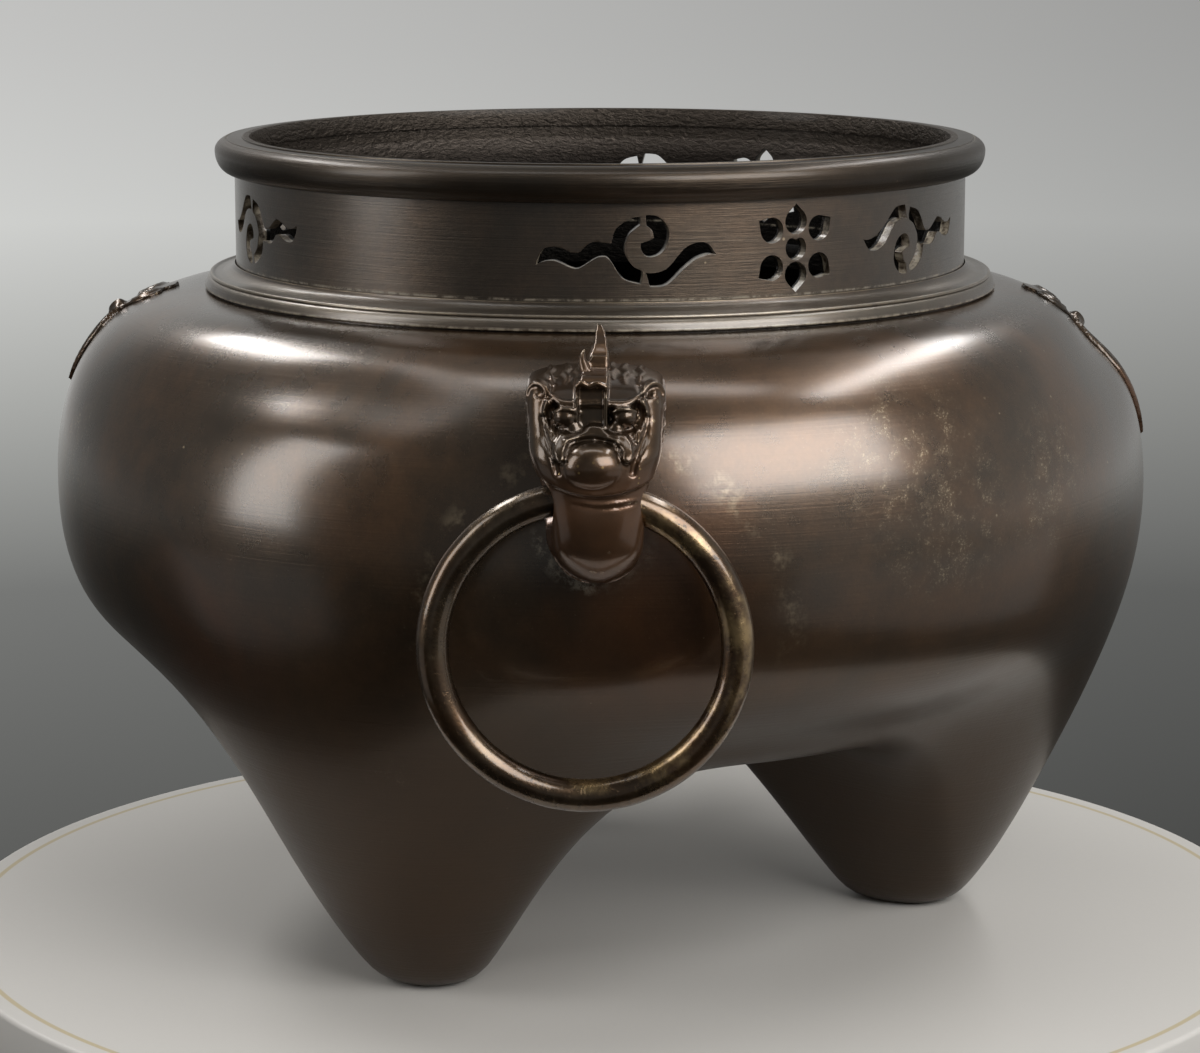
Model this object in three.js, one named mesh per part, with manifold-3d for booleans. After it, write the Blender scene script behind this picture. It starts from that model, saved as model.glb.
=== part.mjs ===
// Bronze tea brazier: a round belly on three hollow pouch legs, a stepped collar,
// a pierced neck band, a rolled rim, two beast-head lugs with hanging rings and
// two leaf mounts riveted to the shoulder.
// Millimetres, Z up. The origin is on the floor under the middle of the bowl.
// The front leg points along -Y and the two lugs lie on the X axis.

import * as THREE from 'three';
import { mergeVertices } from 'three/addons/utils/BufferGeometryUtils.js';
import { NURBSCurve } from 'three/addons/curves/NURBSCurve.js';
import Module from 'manifold-3d';

// Gap left between pieces that touch on the real object
const SEAT_GAP = 0.3;

// Belly: a smooth outline over each leg and another midway between two legs
const LEG_COUNT = 3;
const FRONT_LEG_ANGLE = -Math.PI / 2;
const WALL = 3.5;
const TOE_FLOOR = 5;
const MOUTH_SETBACK = 8;
const MOUTH_HEIGHT = 212.6;
const LEG_SHOULDER_REACH = 21.5;
const LEG_SHOULDER_RADIUS = 159.5;
const LEG_SHOULDER_DROP = 18.5;
const LEG_BELLY_RADIUS = 180.7;
const LEG_BELLY_DROP = 29.4;
const LEG_KNEE_RADIUS = 186.3;
const LEG_KNEE_HEIGHT = 124.2;
const LEG_SHIN_RADIUS = 151;
const LEG_SHIN_HEIGHT = 40.9;
const TOE_RADIUS = 96.5;
const TOE_DEPTH = 51;
const LEG_INSIDE_RADIUS = 39.5;
const VALLEY_SHOULDER_REACH = 21.9;
const VALLEY_SHOULDER_RADIUS = 175.7;
const VALLEY_SHOULDER_DROP = 17.9;
const VALLEY_BELLY_RADIUS = 183.9;
const VALLEY_BELLY_DROP = 57.9;
const VALLEY_FLANK_RADIUS = 177.7;
const VALLEY_FLANK_HEIGHT = 105.5;
const VALLEY_TURN_RADIUS = 135.1;
const VALLEY_TURN_HEIGHT = 86.1;
const VALLEY_HEM_RADIUS = 126.2;
const VALLEY_HEM_HEIGHT = 68.7;
const VAULT_RADIUS = 70.6;
const VAULT_HEIGHT = 78;
const LEG_SHARPNESS = 2.27;
const BODY_SEGMENTS = 54;
const BODY_ROWS = 22;
const ROW_CROWDING = 0.6;
const ROW_CROWDED_AT = 0.68;

// Neck band and its openwork
const NECK_RADIUS = 121;
const NECK_WALL = 4;
const NECK_OPEN_HEIGHT = 30.3;
const NECK_SEGMENTS = 60;
const MOTIF_GROUPS = 3;
const CLOUD_LENGTH = 55;
const MOTIF_SPACING = 54.4;
const SCROLL_STEPS = 1.3;
const PETAL_COUNT = 6;
const PETAL_RADIUS = 3.9;
const PETAL_TIP = 5.4;
const PETAL_UPRIGHT_REACH = 8.1;
const PETAL_SIDE_REACH = 10.2;
const PETAL_SIDE_ANGLE = THREE.MathUtils.degToRad(34);
const FLOWER_EYE_RADIUS = 3.6;
const CUT_MARGIN = 5;

// Stepped collar between belly and neck
const COLLAR_OVERHANG = 2.1;
const COLLAR_ROLL = 2.2;
const COLLAR_HEIGHT = 7.6;
const COLLAR_LEDGE_WIDTH = 7.2;
const COLLAR_LEDGE_DROP = 3.2;
const COLLAR_SPIGOT = 7;
const NECK_REBATE = 5.5;

// Rolled rim
const RIM_OVERHANG = 6.4;
const RIM_INNER_LIP = 1;
const RIM_UNDERCUT = 5;
const RIM_HEIGHT = 11.5;
const RIM_WIDEST_ABOVE_FOOT = 7;
const RIM_REBATE = 5.5;
const RIM_BEAD_WIDTH = 2.4;
const RIM_BEAD_HEIGHT = 0.5;

// Hanging rings
const RING_RADIUS = 43.9;
const RING_WIRE = 9.7;
const RING_SIDE_SLIDE = 3;
const RING_CLEARANCE = 0.6;

// Beast-head lugs: the eye's place on the belly, then sizes in the head's own proportions
const LUG_ANGLES = { right: 0, left: Math.PI };
const EYE_AT = 0.267;
const EYE_STAND_OFF = 11.9;
const HEAD_HALF_WIDTH = 19.2;
const CREST_THINNING = 0.78;
const TENON_RADIUS = 4;
const TENON_CLEARANCE = 0.3;
const TENON_HEAD_RADIUS = 6;
const TENON_HEAD_HEIGHT = 2;
const TENON_ROOT = 6;
const ROVE_RADIUS = 7.5;
const ROVE_THICKNESS = 2.4;
const UPPER_TENON_AT = 0.15;
const LOWER_TENON_AT = 0.345;

// Leaf mounts on the shoulder over the front leg and opposite to it
const MOUNT_THICKNESS = 1.6;
const MOUNT_TOP = 12;
const MOUNT_HEAD_LENGTH = 22;
const MOUNT_HEAD_HALF_WIDTH = 14;
const FRONT_LEAF_LENGTH = 46;
const BACK_LEAF_LENGTH = 30;
const LEAF_HALF_WIDTH = 9;
const MOUNT_KNOB_RADIUS = 3.4;
const MOUNT_PIN_RADIUS = 1.5;
const MOUNT_PIN_HEAD_RADIUS = 2.8;
const MOUNT_PIN_HEAD_HEIGHT = 2.6;

// Radii and heights that follow from the sizes above
const MOUTH_RADIUS = NECK_RADIUS + MOUTH_SETBACK;
const NECK_FOOT = MOUTH_HEIGHT + COLLAR_HEIGHT;
const RIM_FOOT = NECK_FOOT + NECK_OPEN_HEIGHT;
const RIM_TOP = RIM_FOOT + RIM_HEIGHT;
const NECK_MIDDLE = NECK_FOOT + NECK_OPEN_HEIGHT / 2;
const NECK_INNER_RADIUS = NECK_RADIUS - NECK_WALL;
const RIM_INNER_RADIUS = NECK_INNER_RADIUS - RIM_INNER_LIP;
const RIM_RADIUS = NECK_RADIUS + RIM_OVERHANG;

const wasm = await Module();
wasm.setup();

// Turns a closed three.js geometry into a solid that can be joined and cut
function solidFrom(geometry) {
  const bare = geometry.clone();
  bare.deleteAttribute('normal');
  bare.deleteAttribute('uv');
  const merged = mergeVertices(bare);
  const corners = [];
  for (let i = 0; i < merged.index.count; i += 3) {
    const a = merged.index.getX(i);
    const b = merged.index.getX(i + 1);
    const c = merged.index.getX(i + 2);
    if (a !== b && b !== c && c !== a) corners.push(a, b, c);
  }
  const vertProperties = new Float32Array(merged.attributes.position.array);
  const triVerts = new Uint32Array(corners);
  return new wasm.Manifold(new wasm.Mesh({ numProp: 3, vertProperties, triVerts }));
}

function geometryFrom(solid) {
  const { vertProperties, triVerts } = solid.getMesh();
  const geometry = new THREE.BufferGeometry();
  geometry.setAttribute('position', new THREE.BufferAttribute(vertProperties, 3));
  geometry.setIndex(new THREE.BufferAttribute(triVerts, 1));
  geometry.computeVertexNormals();
  return geometry;
}

// Revolves a profile of [radius, height] pairs round the Z axis
function revolve(profile, segments) {
  const points = profile.map(([radius, height]) => new THREE.Vector2(radius, height));
  return new THREE.LatheGeometry(points, segments).rotateX(Math.PI / 2);
}

// Points along an arc, from one angle to another, both included
function arc(centreX, centreY, radiusX, radiusY, from, to, steps) {
  const points = [];
  for (let i = 0; i <= steps; i += 1) {
    const angle = from + ((to - from) * i) / steps;
    points.push([centreX + radiusX * Math.cos(angle), centreY + radiusY * Math.sin(angle)]);
  }
  return points;
}

function shapeFrom(pairs) {
  return new THREE.Shape(pairs.map(([x, y]) => new THREE.Vector2(x, y)));
}

// A smooth curve whose control points are [radius, height] pairs
function outlineCurve(pairs) {
  const degree = 3;
  const spans = pairs.length - degree;
  const knots = [];
  for (let i = 0; i < pairs.length + degree + 1; i += 1) {
    knots.push(THREE.MathUtils.clamp((i - degree) / spans, 0, 1));
  }
  const controls = pairs.map(([radius, height]) => new THREE.Vector4(radius, height, 0, 1));
  return new NURBSCurve(degree, knots, controls);
}

const legOutline = outlineCurve([
  [MOUTH_RADIUS, MOUTH_HEIGHT],
  [MOUTH_RADIUS + LEG_SHOULDER_REACH, MOUTH_HEIGHT],
  [LEG_SHOULDER_RADIUS, MOUTH_HEIGHT - LEG_SHOULDER_DROP],
  [LEG_BELLY_RADIUS, MOUTH_HEIGHT - LEG_BELLY_DROP],
  [LEG_KNEE_RADIUS, LEG_KNEE_HEIGHT],
  [LEG_SHIN_RADIUS, LEG_SHIN_HEIGHT],
  [TOE_RADIUS, -TOE_DEPTH],
  [LEG_INSIDE_RADIUS, VAULT_HEIGHT],
  [0, VAULT_HEIGHT],
]);

const valleyOutline = outlineCurve([
  [MOUTH_RADIUS, MOUTH_HEIGHT],
  [MOUTH_RADIUS + VALLEY_SHOULDER_REACH, MOUTH_HEIGHT],
  [VALLEY_SHOULDER_RADIUS, MOUTH_HEIGHT - VALLEY_SHOULDER_DROP],
  [VALLEY_BELLY_RADIUS, MOUTH_HEIGHT - VALLEY_BELLY_DROP],
  [VALLEY_FLANK_RADIUS, VALLEY_FLANK_HEIGHT],
  [VALLEY_TURN_RADIUS, VALLEY_TURN_HEIGHT],
  [VALLEY_HEM_RADIUS, VALLEY_HEM_HEIGHT],
  [VAULT_RADIUS, VAULT_HEIGHT],
  [0, VAULT_HEIGHT],
]);

// Point of the belly's outside, along runs from 0 at the mouth to 1 under the middle
function bellyPoint(angle, along) {
  const overLeg = legOutline.getPoint(along);
  const between = valleyOutline.getPoint(along);
  const wave = (1 + Math.cos(LEG_COUNT * (angle - FRONT_LEG_ANGLE))) / 2;
  const section = between.lerp(overLeg, wave ** LEG_SHARPNESS);
  return new THREE.Vector3(section.x * Math.cos(angle), section.x * Math.sin(angle), section.y);
}

// Direction square to the belly's outside
function bellyNormal(angle, along) {
  const step = 1e-4;
  const before = THREE.MathUtils.clamp(along - step, 0, 1);
  const after = THREE.MathUtils.clamp(along + step, 0, 1);
  const round = bellyPoint(angle + step, along).sub(bellyPoint(angle - step, along));
  const down = bellyPoint(angle, after).sub(bellyPoint(angle, before));
  if (along > 1 - step) return new THREE.Vector3(0, 0, -1);
  return down.cross(round).normalize();
}

// Rows along the belly outline, crowded towards the toes where it turns fastest
function bellyRows(count) {
  const turn = 2 * Math.PI;
  const rows = [];
  for (let i = 0; i <= count; i += 1) {
    const t = i / count;
    const shift = Math.sin(turn * (t - ROW_CROWDED_AT)) + Math.sin(turn * ROW_CROWDED_AT);
    rows.push(t - (ROW_CROWDING * shift) / turn);
  }
  return rows;
}

// Revolves rows of [along, offset] round the axis and sets each point on the belly.
// A row with a null along value closes the skin on the axis at the given height.
function bellySkin(rows) {
  const placeholders = rows.map((row, i) => new THREE.Vector2(1, i));
  const geometry = new THREE.LatheGeometry(placeholders, BODY_SEGMENTS);
  const position = geometry.attributes.position;
  for (let i = 0; i <= BODY_SEGMENTS; i += 1) {
    const angle = ((i % BODY_SEGMENTS) / BODY_SEGMENTS) * 2 * Math.PI;
    rows.forEach(([along, offset], j) => {
      const point = new THREE.Vector3(0, 0, offset);
      if (along !== null) {
        point.copy(bellyPoint(angle, along)).addScaledVector(bellyNormal(angle, along), offset);
        if (offset < 0) point.z = Math.max(point.z, TOE_FLOOR);
      }
      if (along === 1) point.setX(0).setY(0);
      position.setXYZ(i * rows.length + j, point.x, point.y, point.z);
    });
  }
  return solidFrom(geometry);
}

// Belly filled to its outside, grown or shrunk by a margin: it trims what sits on the wall
function filledBelly(margin) {
  const rows = bellyRows(BODY_ROWS).reverse().map((along) => [along, margin]);
  rows.push([null, MOUTH_HEIGHT + margin]);
  return bellySkin(rows);
}

// A solid from a geometry whose own Z axis is set along a direction at a place
function placedAlong(geometry, place, direction) {
  const turn = new THREE.Quaternion().setFromUnitVectors(new THREE.Vector3(0, 0, 1), direction);
  const matrix = new THREE.Matrix4().compose(place, turn, new THREE.Vector3(1, 1, 1));
  return solidFrom(geometry.clone().applyMatrix4(matrix));
}

function rod(radius, from, to, sides) {
  const profile = [[0, from], [radius, from], [radius, to], [0, to]];
  return revolve(profile, sides);
}

// Rivets: where each goes through the belly wall, and the hole it needs
function tenonPlace(angle, along) {
  return { place: bellyPoint(angle, along), direction: bellyNormal(angle, along) };
}

const tenonReach = WALL + 3 * SEAT_GAP + ROVE_THICKNESS;
const tenonSites = [UPPER_TENON_AT, LOWER_TENON_AT];
const mountSites = [
  { name: 'mount_front', angle: FRONT_LEG_ANGLE, leafLength: FRONT_LEAF_LENGTH },
  { name: 'mount_back', angle: FRONT_LEG_ANGLE + Math.PI, leafLength: BACK_LEAF_LENGTH },
];

// Distance down the shoulder from the mouth edge to a point of the outline
function alongForDistance(angle, distance) {
  const step = 0.002;
  let along = 0;
  let walked = 0;
  let last = bellyPoint(angle, 0);
  while (walked < distance && along < 1) {
    along += step;
    const next = bellyPoint(angle, along);
    walked += next.distanceTo(last);
    last = next;
  }
  return along;
}

function mountPinSites(site) {
  const head = MOUNT_TOP + MOUNT_HEAD_LENGTH / 2;
  const leaf = MOUNT_TOP + MOUNT_HEAD_LENGTH + site.leafLength / 3;
  return [head, leaf].map((distance) => tenonPlace(site.angle, alongForDistance(site.angle, distance)));
}

function makeBody() {
  const rows = bellyRows(BODY_ROWS).reverse().map((along) => [along, 0]);
  bellyRows(BODY_ROWS).forEach((along) => rows.push([along, -WALL]));
  let body = bellySkin(rows);
  const groundSize = 3 * LEG_KNEE_RADIUS;
  const ground = new THREE.BoxGeometry(groundSize, groundSize, 2 * TOE_DEPTH).translate(0, 0, -TOE_DEPTH);
  body = body.subtract(solidFrom(ground));
  Object.values(LUG_ANGLES).forEach((angle) => {
    tenonSites.forEach((along) => {
      const { place, direction } = tenonPlace(angle, along);
      const hole = rod(TENON_RADIUS + TENON_CLEARANCE, -2 * WALL, 2 * WALL, 16);
      body = body.subtract(placedAlong(hole, place, direction));
    });
  });
  mountSites.forEach((site) => {
    mountPinSites(site).forEach(({ place, direction }) => {
      const hole = rod(MOUNT_PIN_RADIUS + SEAT_GAP, -2 * WALL, 2 * WALL, 10);
      body = body.subtract(placedAlong(hole, place, direction));
    });
  });
  return body;
}

// Collar: a quarter-round with a ledge, a spigot in the mouth and a rebate for the neck
function makeCollar() {
  const foot = MOUTH_HEIGHT + SEAT_GAP;
  const ledge = NECK_FOOT - COLLAR_LEDGE_DROP;
  const rebateRadius = NECK_RADIUS + SEAT_GAP;
  const rebateFloor = NECK_FOOT - NECK_REBATE;
  const rollMiddle = MOUTH_RADIUS + COLLAR_OVERHANG - COLLAR_ROLL;
  const profile = [
    [NECK_INNER_RADIUS, foot - COLLAR_SPIGOT],
    [MOUTH_RADIUS - SEAT_GAP, foot - COLLAR_SPIGOT],
    [MOUTH_RADIUS - SEAT_GAP, foot],
    ...arc(rollMiddle, foot, COLLAR_ROLL, ledge - foot, 0, Math.PI / 2, 3),
    ...arc(rebateRadius, ledge, COLLAR_LEDGE_WIDTH, COLLAR_LEDGE_DROP, 0, Math.PI / 2, 3).slice(1),
    [rebateRadius, rebateFloor],
    [NECK_INNER_RADIUS, rebateFloor],
  ];
  profile.push(profile[0]);
  return solidFrom(revolve(profile, NECK_SEGMENTS));
}

// Cloud scroll in parts of its length, drawn round the middle of its curl: three channels
// held by two ties
const cloudChannels = [
  {
    start: [-0.5, -0.064],
    edges: [
      [[-0.405, -0.04], [-0.316, -0.075], [-0.264, -0.082], [-0.145, -0.018], [-0.08, -0.055], [0.002, -0.151], [0.076, -0.169]],
      [[0.085, -0.104], [0.002, -0.029], [-0.011, 0.047], [0.038, 0.129], [0.073, 0.155]],
      [[0.065, 0.2], [-0.035, 0.158], [-0.082, 0.076], [-0.085, 0.055]],
      [[-0.153, 0.064], [-0.235, 0.033], [-0.309, 0.007], [-0.405, 0.036], [-0.456, 0.025], [-0.5, -0.064]],
    ],
  },
  {
    start: [0.102, 0.207],
    edges: [
      [[0.195, 0.182], [0.231, 0.085], [0.18, -0.007], [0.113, -0.018], [0.076, 0.04]],
      [[0.142, 0.078], [0.135, 0.129], [0.095, 0.158]],
    ],
  },
  {
    start: [0.105, -0.107],
    edges: [
      [[0.209, -0.093], [0.32, 0.022], [0.416, 0.055], [0.5, -0.015]],
      [[0.409, -0.025], [0.305, -0.1], [0.202, -0.182], [0.098, -0.185]],
    ],
  },
];

// Outline of one channel: a smooth curve through each edge, sharp where edges meet
function channelOutline(channel) {
  let from = channel.start;
  const outline = [];
  channel.edges.forEach((edge) => {
    const knots = [from, ...edge].map(([x, y]) => new THREE.Vector2(x, y));
    const curve = new THREE.SplineCurve(knots);
    const steps = Math.ceil(edge.length * SCROLL_STEPS);
    for (let i = 0; i < steps; i += 1) {
      const point = curve.getPoint(i / steps);
      outline.push([point.x * CLOUD_LENGTH, point.y * CLOUD_LENGTH]);
    }
    from = edge[edge.length - 1];
  });
  return outline;
}

// Petal opening: a round hole drawn out to a point
function petalOutline(angle, reach) {
  const centre = [reach * Math.cos(angle), reach * Math.sin(angle)];
  const open = Math.acos(PETAL_RADIUS / PETAL_TIP);
  const round = arc(centre[0], centre[1], PETAL_RADIUS, PETAL_RADIUS, angle + open, angle + 2 * Math.PI - open, 6);
  const tip = [centre[0] + PETAL_TIP * Math.cos(angle), centre[1] + PETAL_TIP * Math.sin(angle)];
  return [...round, tip];
}

function petalAngles() {
  const angles = [];
  for (let i = 0; i < PETAL_COUNT; i += 1) {
    const turn = Math.floor(i / 3) * Math.PI;
    angles.push(turn + [PETAL_SIDE_ANGLE, Math.PI / 2, Math.PI - PETAL_SIDE_ANGLE][i % 3]);
  }
  return angles;
}

// All openings of one group, as outlines round the neck: cloud, flower, turned cloud
function motifOutlines() {
  const clouds = cloudChannels.map(channelOutline);
  const left = clouds.map((outline) => outline.map(([x, y]) => [x - MOTIF_SPACING, y]));
  const right = left.map((outline) => outline.map(([x, y]) => [-x, -y]));
  const flower = petalAngles().map((angle) => {
    const upright = Math.abs(Math.cos(angle)) < 0.5;
    return petalOutline(angle, upright ? PETAL_UPRIGHT_REACH : PETAL_SIDE_REACH);
  });
  const eye = arc(0, 0, FLOWER_EYE_RADIUS, FLOWER_EYE_RADIUS, 0, 2 * Math.PI, 10).slice(0, -1);
  return [...left, ...flower, eye, ...right];
}

// Cutter for an outline: extruded through the neck and bent round its axis
function neckCutter(outline, middleAngle) {
  const inner = NECK_INNER_RADIUS - CUT_MARGIN;
  const depth = NECK_WALL + 2 * CUT_MARGIN;
  const shape = shapeFrom(outline);
  const geometry = new THREE.ExtrudeGeometry(shape, { depth, steps: 1, bevelEnabled: false });
  const position = geometry.attributes.position;
  for (let i = 0; i < position.count; i += 1) {
    const angle = middleAngle + position.getX(i) / NECK_RADIUS;
    const radius = inner + position.getZ(i);
    const height = NECK_MIDDLE + position.getY(i);
    position.setXYZ(i, radius * Math.cos(angle), radius * Math.sin(angle), height);
  }
  return solidFrom(geometry);
}

function makeNeck() {
  const bottom = NECK_FOOT - NECK_REBATE + SEAT_GAP;
  const top = RIM_FOOT + RIM_REBATE - SEAT_GAP;
  const profile = [
    [NECK_INNER_RADIUS, bottom],
    [NECK_RADIUS, bottom],
    [NECK_RADIUS, top],
    [NECK_INNER_RADIUS, top],
    [NECK_INNER_RADIUS, bottom],
  ];
  let neck = solidFrom(revolve(profile, NECK_SEGMENTS));
  const outlines = motifOutlines();
  for (let i = 0; i < MOTIF_GROUPS; i += 1) {
    const middle = Math.PI / 2 + (i * 2 * Math.PI) / MOTIF_GROUPS;
    outlines.forEach((outline) => {
      neck = neck.subtract(neckCutter(outline, middle));
    });
  }
  return neck;
}

// Rim: a roll that overhangs the neck, a flat land and a thin raised bead inside
function makeRim() {
  const rebateRadius = NECK_RADIUS + SEAT_GAP;
  const widest = RIM_FOOT + RIM_WIDEST_ABOVE_FOOT;
  const land = RIM_TOP - RIM_BEAD_HEIGHT;
  const beadRadius = RIM_INNER_RADIUS + RIM_BEAD_WIDTH;
  const rollMiddle = RIM_RADIUS - RIM_UNDERCUT;
  const profile = [
    [rebateRadius, RIM_FOOT + RIM_REBATE],
    [rebateRadius, RIM_FOOT],
    ...arc(rollMiddle, widest, RIM_UNDERCUT, RIM_WIDEST_ABOVE_FOOT, -Math.PI / 2, 0, 4),
    ...arc(rollMiddle, widest, RIM_UNDERCUT, land - widest, 0, Math.PI / 2, 4).slice(1),
    [beadRadius, land],
    [beadRadius, RIM_TOP],
    [RIM_INNER_RADIUS, RIM_TOP],
    [RIM_INNER_RADIUS, RIM_FOOT + RIM_REBATE],
  ];
  profile.push(profile[0]);
  return solidFrom(revolve(profile, NECK_SEGMENTS));
}

// Eye of a lug, made round the Y axis: wide enough for the ring's curve as it swings
function eyeCutter() {
  const reach = HEAD_HALF_WIDTH + RING_CLEARANCE;
  const steps = 8;
  const profile = [[0, -reach]];
  for (let i = 0; i <= steps; i += 1) {
    const side = -reach + (2 * reach * i) / steps;
    const farthest = Math.abs(side) + RING_SIDE_SLIDE;
    const wireInside = Math.sqrt((RING_RADIUS - RING_WIRE / 2) ** 2 - farthest ** 2);
    profile.push([RING_RADIUS - wireInside + RING_CLEARANCE, side]);
  }
  profile.push([0, reach]);
  return placedAlong(revolve(profile, 20), new THREE.Vector3(), new THREE.Vector3(0, 1, 0));
}

// The lug's outlines are drawn round its eye, in parts of the head's half width
const headSideView = [
  [-2.6, 1.6], [-1, -1.33], [-0.1, -1.33], [0.26, -1.13], [0.55, -0.82], [0.68, -0.43], [0.69, 0.17],
  [0.81, 0.255], [0.85, 0.45], [0.7, 0.9], [0.42, 1.05], [0.34, 1.39], [0.16, 1.52], [-0.62, 1.77], [-1.3, 1.83],
];
const headHalfFrontView = [
  [0.25, -1.33], [0.48, -1.22], [0.62, -1.02], [0.69, -0.75], [0.735, -0.3], [0.8, 0], [0.94, 0.35], [1, 0.75],
  [1, 1.5], [0.92, 1.78], [0.85, 1.9],
];
const crestSideView = [
  [-1.3, 1.39], [0.34, 1], [0.44, 1.03], [0.39, 1.68], [0.1, 1.81], [-0.31, 1.885], [-0.23, 2.09], [-0.57, 2.015],
  [-0.885, 2.22], [-1.22, 2.46], [-1.15, 2.145], [-1.35, 1.86],
];
const browSideView = [
  [-0.73, 1.7], [0.31, 1.05], [0.495, 1.08], [0.51, 1.365], [0.34, 1.535], [0, 1.65], [-0.625, 1.86],
];
const HEAD_ROOT = -2.6;
const HEAD_REACH = 1.4;
const HEAD_ROUNDING = { middle: -0.1, outwards: 1.06, across: 1.05 };
const CREST_HALF_WIDTH = 0.21;
const CREST_SHOULDER = 1.68;
const CREST_TIP = 2.46;
const BROW_SPAN = { inside: 0.22, outside: 0.76 };
const NOSE = { place: [0.57, 0, 0.59], radii: [0.365, 0.46, 0.345] };
const EAR = { place: [-0.52, 0.895, 1.57], radii: [0.29, 0.145, 0.27] };

function headShape(pairs) {
  return shapeFrom(pairs.map(([x, y]) => [x * HEAD_HALF_WIDTH, y * HEAD_HALF_WIDTH]));
}

// Extrudes an outline square to its own plane, from one distance to another
function headExtrusion(pairs, from, to) {
  const depth = (to - from) * HEAD_HALF_WIDTH;
  const geometry = new THREE.ExtrudeGeometry(headShape(pairs), { depth, steps: 1, bevelEnabled: false });
  return geometry.translate(0, 0, from * HEAD_HALF_WIDTH);
}

// A side view, [outwards, up], given a width between two places across the head
function acrossHead(pairs, from, to) {
  return headExtrusion(pairs, -to, -from).rotateX(Math.PI / 2);
}

function headEllipsoid({ place, radii }, side) {
  const geometry = new THREE.SphereGeometry(HEAD_HALF_WIDTH, 14, 8).rotateX(Math.PI / 2).scale(...radii);
  const [x, y, z] = place.map((value) => value * HEAD_HALF_WIDTH);
  return solidFrom(geometry.translate(x, side * y, z));
}

function makeHead() {
  const frontView = [...headHalfFrontView, ...headHalfFrontView.map(([y, z]) => [-y, z]).reverse()];
  const { middle, outwards, across } = HEAD_ROUNDING;
  const planView = [
    [HEAD_ROOT, -across],
    ...arc(middle, 0, outwards, across, -Math.PI / 2, Math.PI / 2, 10),
    [HEAD_ROOT, across],
  ];
  const front = headExtrusion(frontView, HEAD_ROOT, HEAD_REACH).rotateX(Math.PI / 2).rotateZ(Math.PI / 2);
  const plan = headExtrusion(planView, -2, CREST_TIP);
  const side = acrossHead(headSideView, -across, across);
  const form = solidFrom(side).intersect(solidFrom(front)).intersect(solidFrom(plan));
  return form.add(headEllipsoid(NOSE, 1));
}

// Crest: a flame-shaped fin over the forehead, thinning towards its tip
function makeCrest() {
  const geometry = acrossHead(crestSideView, -CREST_HALF_WIDTH, CREST_HALF_WIDTH);
  const position = geometry.attributes.position;
  for (let i = 0; i < position.count; i += 1) {
    const height = position.getZ(i) / HEAD_HALF_WIDTH;
    const rise = Math.max(0, (height - CREST_SHOULDER) / (CREST_TIP - CREST_SHOULDER));
    position.setY(i, position.getY(i) * (1 - CREST_THINNING * rise));
  }
  return solidFrom(geometry);
}

// Brow block beside the crest and the curled ear behind it, on one side of the head
function makeBrow(side) {
  const { inside, outside } = BROW_SPAN;
  const span = side > 0 ? [inside, outside] : [-outside, -inside];
  return solidFrom(acrossHead(browSideView, ...span)).add(headEllipsoid(EAR, side));
}

// Tenon with its peened head, drawn along the rivet's own axis
function tenonSolid(angle, along) {
  const { place, direction } = tenonPlace(angle, along);
  const headFrom = -tenonReach;
  const profile = [
    [0, headFrom - TENON_HEAD_HEIGHT],
    [TENON_HEAD_RADIUS * 0.6, headFrom - TENON_HEAD_HEIGHT],
    [TENON_HEAD_RADIUS, headFrom - TENON_HEAD_HEIGHT * 0.4],
    [TENON_HEAD_RADIUS, headFrom],
    [TENON_RADIUS, headFrom],
    [TENON_RADIUS, TENON_ROOT],
    [0, TENON_ROOT],
  ];
  return placedAlong(revolve(profile, 16), place, direction);
}

const bellyTrim = filledBelly(SEAT_GAP);
const hollowTrim = filledBelly(-WALL - 2 * SEAT_GAP);

// Middle of a lug's eye, standing off the belly level with it
function eyePlace(angle) {
  const outwards = new THREE.Vector3(Math.cos(angle), Math.sin(angle), 0);
  return bellyPoint(angle, EYE_AT).addScaledVector(outwards, EYE_STAND_OFF);
}

function makeLug(angle) {
  let lug = makeHead().add(makeCrest()).add(makeBrow(1)).add(makeBrow(-1)).subtract(eyeCutter());
  lug = lug.rotate([0, 0, THREE.MathUtils.radToDeg(angle)]);
  lug = lug.translate(eyePlace(angle).toArray()).subtract(bellyTrim);
  tenonSites.forEach((along) => {
    lug = lug.add(tenonSolid(angle, along));
  });
  return lug;
}

// Washer under a tenon's peened head, inside the belly
function makeRove(angle, along) {
  const { place, direction } = tenonPlace(angle, along);
  const hole = TENON_RADIUS + TENON_CLEARANCE;
  const inner = SEAT_GAP - tenonReach;
  const profile = [[hole, inner], [ROVE_RADIUS, inner], [ROVE_RADIUS, -WALL], [hole, -WALL], [hole, inner]];
  return placedAlong(revolve(profile, 20), place, direction).intersect(hollowTrim);
}

// Ring hanging straight down from its eye, slid a little to one side
function makeRing(angle) {
  const torus = new THREE.TorusGeometry(RING_RADIUS, RING_WIRE / 2, 12, 40).rotateY(Math.PI / 2);
  torus.translate(0, -RING_SIDE_SLIDE, -RING_RADIUS).rotateZ(angle);
  return torus.translate(...eyePlace(angle).toArray());
}

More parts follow.
